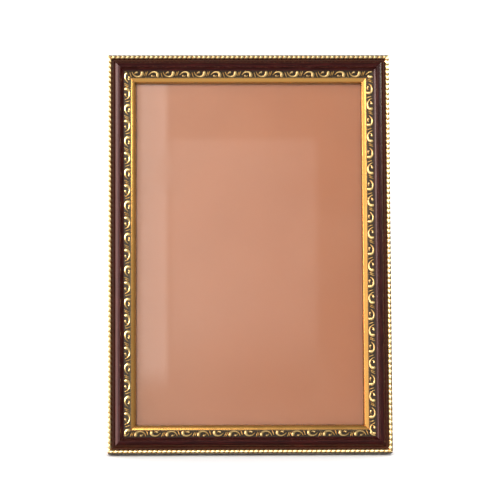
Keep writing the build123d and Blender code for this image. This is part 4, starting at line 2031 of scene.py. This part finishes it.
@dataclass(frozen=True)
class MirroredRoom:
    """The even light all round, and the darker room that mirrors see in its place.

    Each fade is where it starts and ends, and then the shares there if they are not nought and one.

    Attributes:
        even_light: The radiance of the even light.
        light: The room's radiance straight ahead.
        slant: How much its radiance grows to the right.
        behind: The radiance behind the frame.
        front_fade: How it grows from the back to the front.
        low_fade: How it grows from the floor up.
        high_fade: How it fades overhead.
        behind_fade: How the light behind the frame grows.
        least_ahead: The least share of a direction along the face's normal, so that slopes stay finite.
        patches: The pale patches in the glass.
    """

    even_light: float = 1.5
    light: float = 0.56
    slant: float = -0.45
    behind: float = 0.75
    front_fade: Point = (-0.3, 0.7)
    low_fade: tuple[float, float, Point] = (-0.9, -0.35, (0.15, 1))
    high_fade: tuple[float, float, Point] = (0.5, 0.95, (1, 0.35))
    behind_fade: Point = (0.3, 0.8)
    least_ahead: float = 0.1
    patches: tuple[MirroredPatch, ...] = (
        MirroredPatch((-0.0133, -0.0042), (0.0739, 0.1739), 0.0014, 0.006, 1.1),
        MirroredPatch((-0.0031, 0.0458), (0.0832, 0.1542), 0.0018, 0.014, 0.42),
    )

    @staticmethod
    def patch(tree: Graph, slopes: Sequence[object], patch: MirroredPatch) -> object:
        """How bright a patch is in a direction.

        Args:
            tree: The world's graph.
            slopes: The direction's slopes across and up from the face's normal.
            patch: The patch.

        Returns:
            Its radiance there.
        """
        shares = []
        edges = zip(slopes, (patch.across, patch.up), (patch.side_softness, patch.end_softness))
        for slope, (low, high), soft in edges:
            shares.append(tree.spread(slope, low - soft, low + soft))
            fading = high - patch.side_softness, high + patch.side_softness
            shares.append(tree.spread(slope, *fading, (1, 0)))
        return tree.times(*shares, patch.brightness)

    def build(self, axes: FaceAxes) -> None:
        """Makes it the scene's world.

        Args:
            axes: The frame's axes, because the patches are placed in them.
        """
        world = bpy.data.worlds.new("studio")
        world.use_nodes = True
        tree = Graph(world.node_tree)
        tree.tree.nodes.clear()
        mirrored = tree.add("ShaderNodeLightPath").outputs["Is Glossy Ray"]
        direction = tree.add("ShaderNodeTexCoord").outputs["Generated"]
        apart = tree.parts(direction)
        in_front = tree.spread(tree.times(apart["Y"], -1.0), *self.front_fade)
        above = tree.times(*(tree.spread(apart["Z"], *fade) for fade in (self.low_fade, self.high_fade)))
        sideways = tree.plus(tree.times(apart["X"], self.slant), self.light)
        behind = tree.times(tree.spread(apart["Y"], *self.behind_fade), self.behind)
        room = tree.plus(tree.times(in_front, above, sideways), behind)
        across, up, ahead = (
            tree.add("ShaderNodeVectorMath", {0: direction, 1: tuple(axis)}, operation="DOT_PRODUCT")
            .outputs["Value"] for axis in (axes.across, axes.up, axes.normal)
        )
        ahead = tree.math("MAXIMUM", ahead, self.least_ahead)
        slopes = [tree.math("DIVIDE", reach, ahead) for reach in (across, up)]
        for patch in self.patches:
            room = tree.plus(room, self.patch(tree, slopes, patch))
        even = tree.times(tree.minus(1.0, mirrored), self.even_light)
        strength = tree.plus(tree.times(mirrored, room), even)
        lit = tree.out("ShaderNodeBackground", {"Color": (1, 1, 1, 1), "Strength": strength})
        tree.add("ShaderNodeOutputWorld", {"Surface": lit})
        bpy.context.scene.world = world


@dataclass
class Studio:
    """Floor, soft lights and camera."""

    axes: FaceAxes
    image_pixels: int = 500
    camera_place: Triple = (-0.06, -0.30013, 2.6)
    camera_turns: Triple = (-6.6614, 1.34, 0.2713)
    focal_pixels: float = 3017.9
    camera_reach: Point = (0.05, 100.0)
    floor_size: float = 80.0
    floor_tones: tuple[Colour, Colour] = ((0.9, 0.9, 0.9, 1), (0.93, 0.93, 0.93, 1))
    floor_cloud_scale: float = 3.0
    floor_roughness: float = 0.9
    floor_gloss: float = 0.1
    room: MirroredRoom = MirroredRoom()
    panels: tuple[Panel, ...] = (
        Panel("left_window", -112, 10, 1.4, 2.6, 1.3, 7.2, (1, 0.64, 0.6), "moulding_left"),
        Panel("left_above", -100, 23, 1.0, 0.8, 0.3, 4.0, (0.94, 1, 0.96), "left"),
        Panel("left_card", -38, 24, 1.3, 0.5, 0.5, 60.0, (1, 0.97, 0.9), "scrolls_left"),
        Panel("left_glare", 8, 36, 0.49, 0.16, 0.1, 10.0, (1, 1, 0.9), "left"),
        Panel("front_card", -22, 40, 1.5, 0.5, 0.5, 8.0, (1, 0.97, 0.9)),
        Panel("bottom_card", 0, 12, 1.0, 1.4, 0.4, 5.5, (1, 0.94, 0.88), "rope_bottom"),
        Panel("right_rope_card", 10, 24, 1.3, 0.6, 0.5, 14.0, (1, 0.94, 0.8), "rope_right"),
        Panel("right_gleam", -94, 22, 1.2, 0.8, 0.5, 14.0, (1, 0.9, 0.85), "right"),
        Panel("right_card", 40, 36, 1.3, 0.5, 0.2, 12.0, (1, 1, 0.94), "right"),
        Panel("right_above", 115, 24, 1.0, 0.7, 0.3, 14.0, (0.92, 1, 0.97), "right"),
    )

    def floor(self) -> None:
        """A plain pale floor."""
        mesh = bpy.data.meshes.new("floor")
        half = self.floor_size / 2
        corners = [(-half, -half, 0), (half, -half, 0), (half, half, 0), (-half, half, 0)]
        mesh.from_pydata(corners, [], [(0, 1, 2, 3)])
        tree = ShaderTree("pale_floor")
        cloud = tree.noise(tree.place(), self.floor_cloud_scale)
        tree.finish(Base_Color=tree.blend(cloud, *self.floor_tones), Roughness=self.floor_roughness,
                    Specular_IOR_Level=self.floor_gloss)
        mesh.materials.append(tree.material)
        floor = bpy.data.objects.new("floor", mesh)
        bpy.context.scene.collection.objects.link(floor)
        floor.visible_glossy = False

    def light(self, panel: Panel) -> None:
        """Hangs one panel, turned to the frame's middle.

        Args:
            panel: The panel.
        """
        data = bpy.data.lights.new(panel.name, "AREA")
        data.shape = "RECTANGLE"
        data.size, data.size_y = panel.width, panel.height
        data.energy = panel.brightness * math.pi * panel.width * panel.height
        data.color = panel.tint
        turn, rise = math.radians(panel.turn), math.radians(panel.rise)
        level = math.cos(rise)
        towards = Vector((math.sin(turn) * level, -math.cos(turn) * level, math.sin(rise)))
        light = bpy.data.objects.new(panel.name, data)
        light.rotation_mode = "QUATERNION"
        light.rotation_quaternion = towards.to_track_quat("Z", "Y")
        light.location = self.axes.middle + towards * panel.distance
        light.visible_camera = False
        light.visible_diffuse = False
        if panel.side:
            lit = bpy.data.collections.new(f"lit_by_{panel.name}")
            for piece in bpy.data.objects:
                if piece.name.endswith(f"_{panel.side}"):
                    lit.objects.link(piece)
            light.light_linking.receiver_collection = lit
        bpy.context.scene.collection.objects.link(light)

    def camera(self) -> None:
        """The camera, placed and turned in the face's axes."""
        data = bpy.data.cameras.new("camera")
        data.lens = data.sensor_width * self.focal_pixels / self.image_pixels
        data.clip_start, data.clip_end = self.camera_reach
        turns = (Matrix.Rotation(math.radians(t), 4, axis) for t, axis in zip(self.camera_turns, "XYZ"))
        about_x, about_y, about_z = turns
        seen = about_z @ about_x @ about_y @ Matrix.Translation(-Vector(self.camera_place))
        face = self.axes.on_face() @ Matrix.Scale(1 / MM, 4)
        camera = bpy.data.objects.new("camera", data)
        camera.matrix_world = face @ seen.inverted()
        bpy.context.scene.collection.objects.link(camera)
        bpy.context.scene.camera = camera

    def build(self) -> None:
        """Sets up the whole studio."""
        self.floor()
        self.room.build(self.axes)
        for panel in self.panels:
            self.light(panel)
        self.camera()
        bpy.context.scene.view_settings.view_transform = "Standard"


def main() -> None:
    """Builds every sub-assembly in order, then the studio."""
    logging.basicConfig(level=logging.INFO, format="%(message)s")
    axes = FaceAxes.measured()
    sizes = MouldingSizes()
    finishes = Finishes()
    MouldingRails(axes, sizes, finishes).build()
    RopeBeads(axes, sizes, finishes).build()
    RunningScrolls(axes, sizes, finishes).build()
    SightFillets(axes, sizes, finishes).build()
    Glazing(axes, finishes).build()
    Fasteners(axes, finishes).build()
    HangingRing(axes, finishes).build()
    BackHardware(finishes).build()
    Studio(axes).build()


if __name__ == "__main__":
    main()
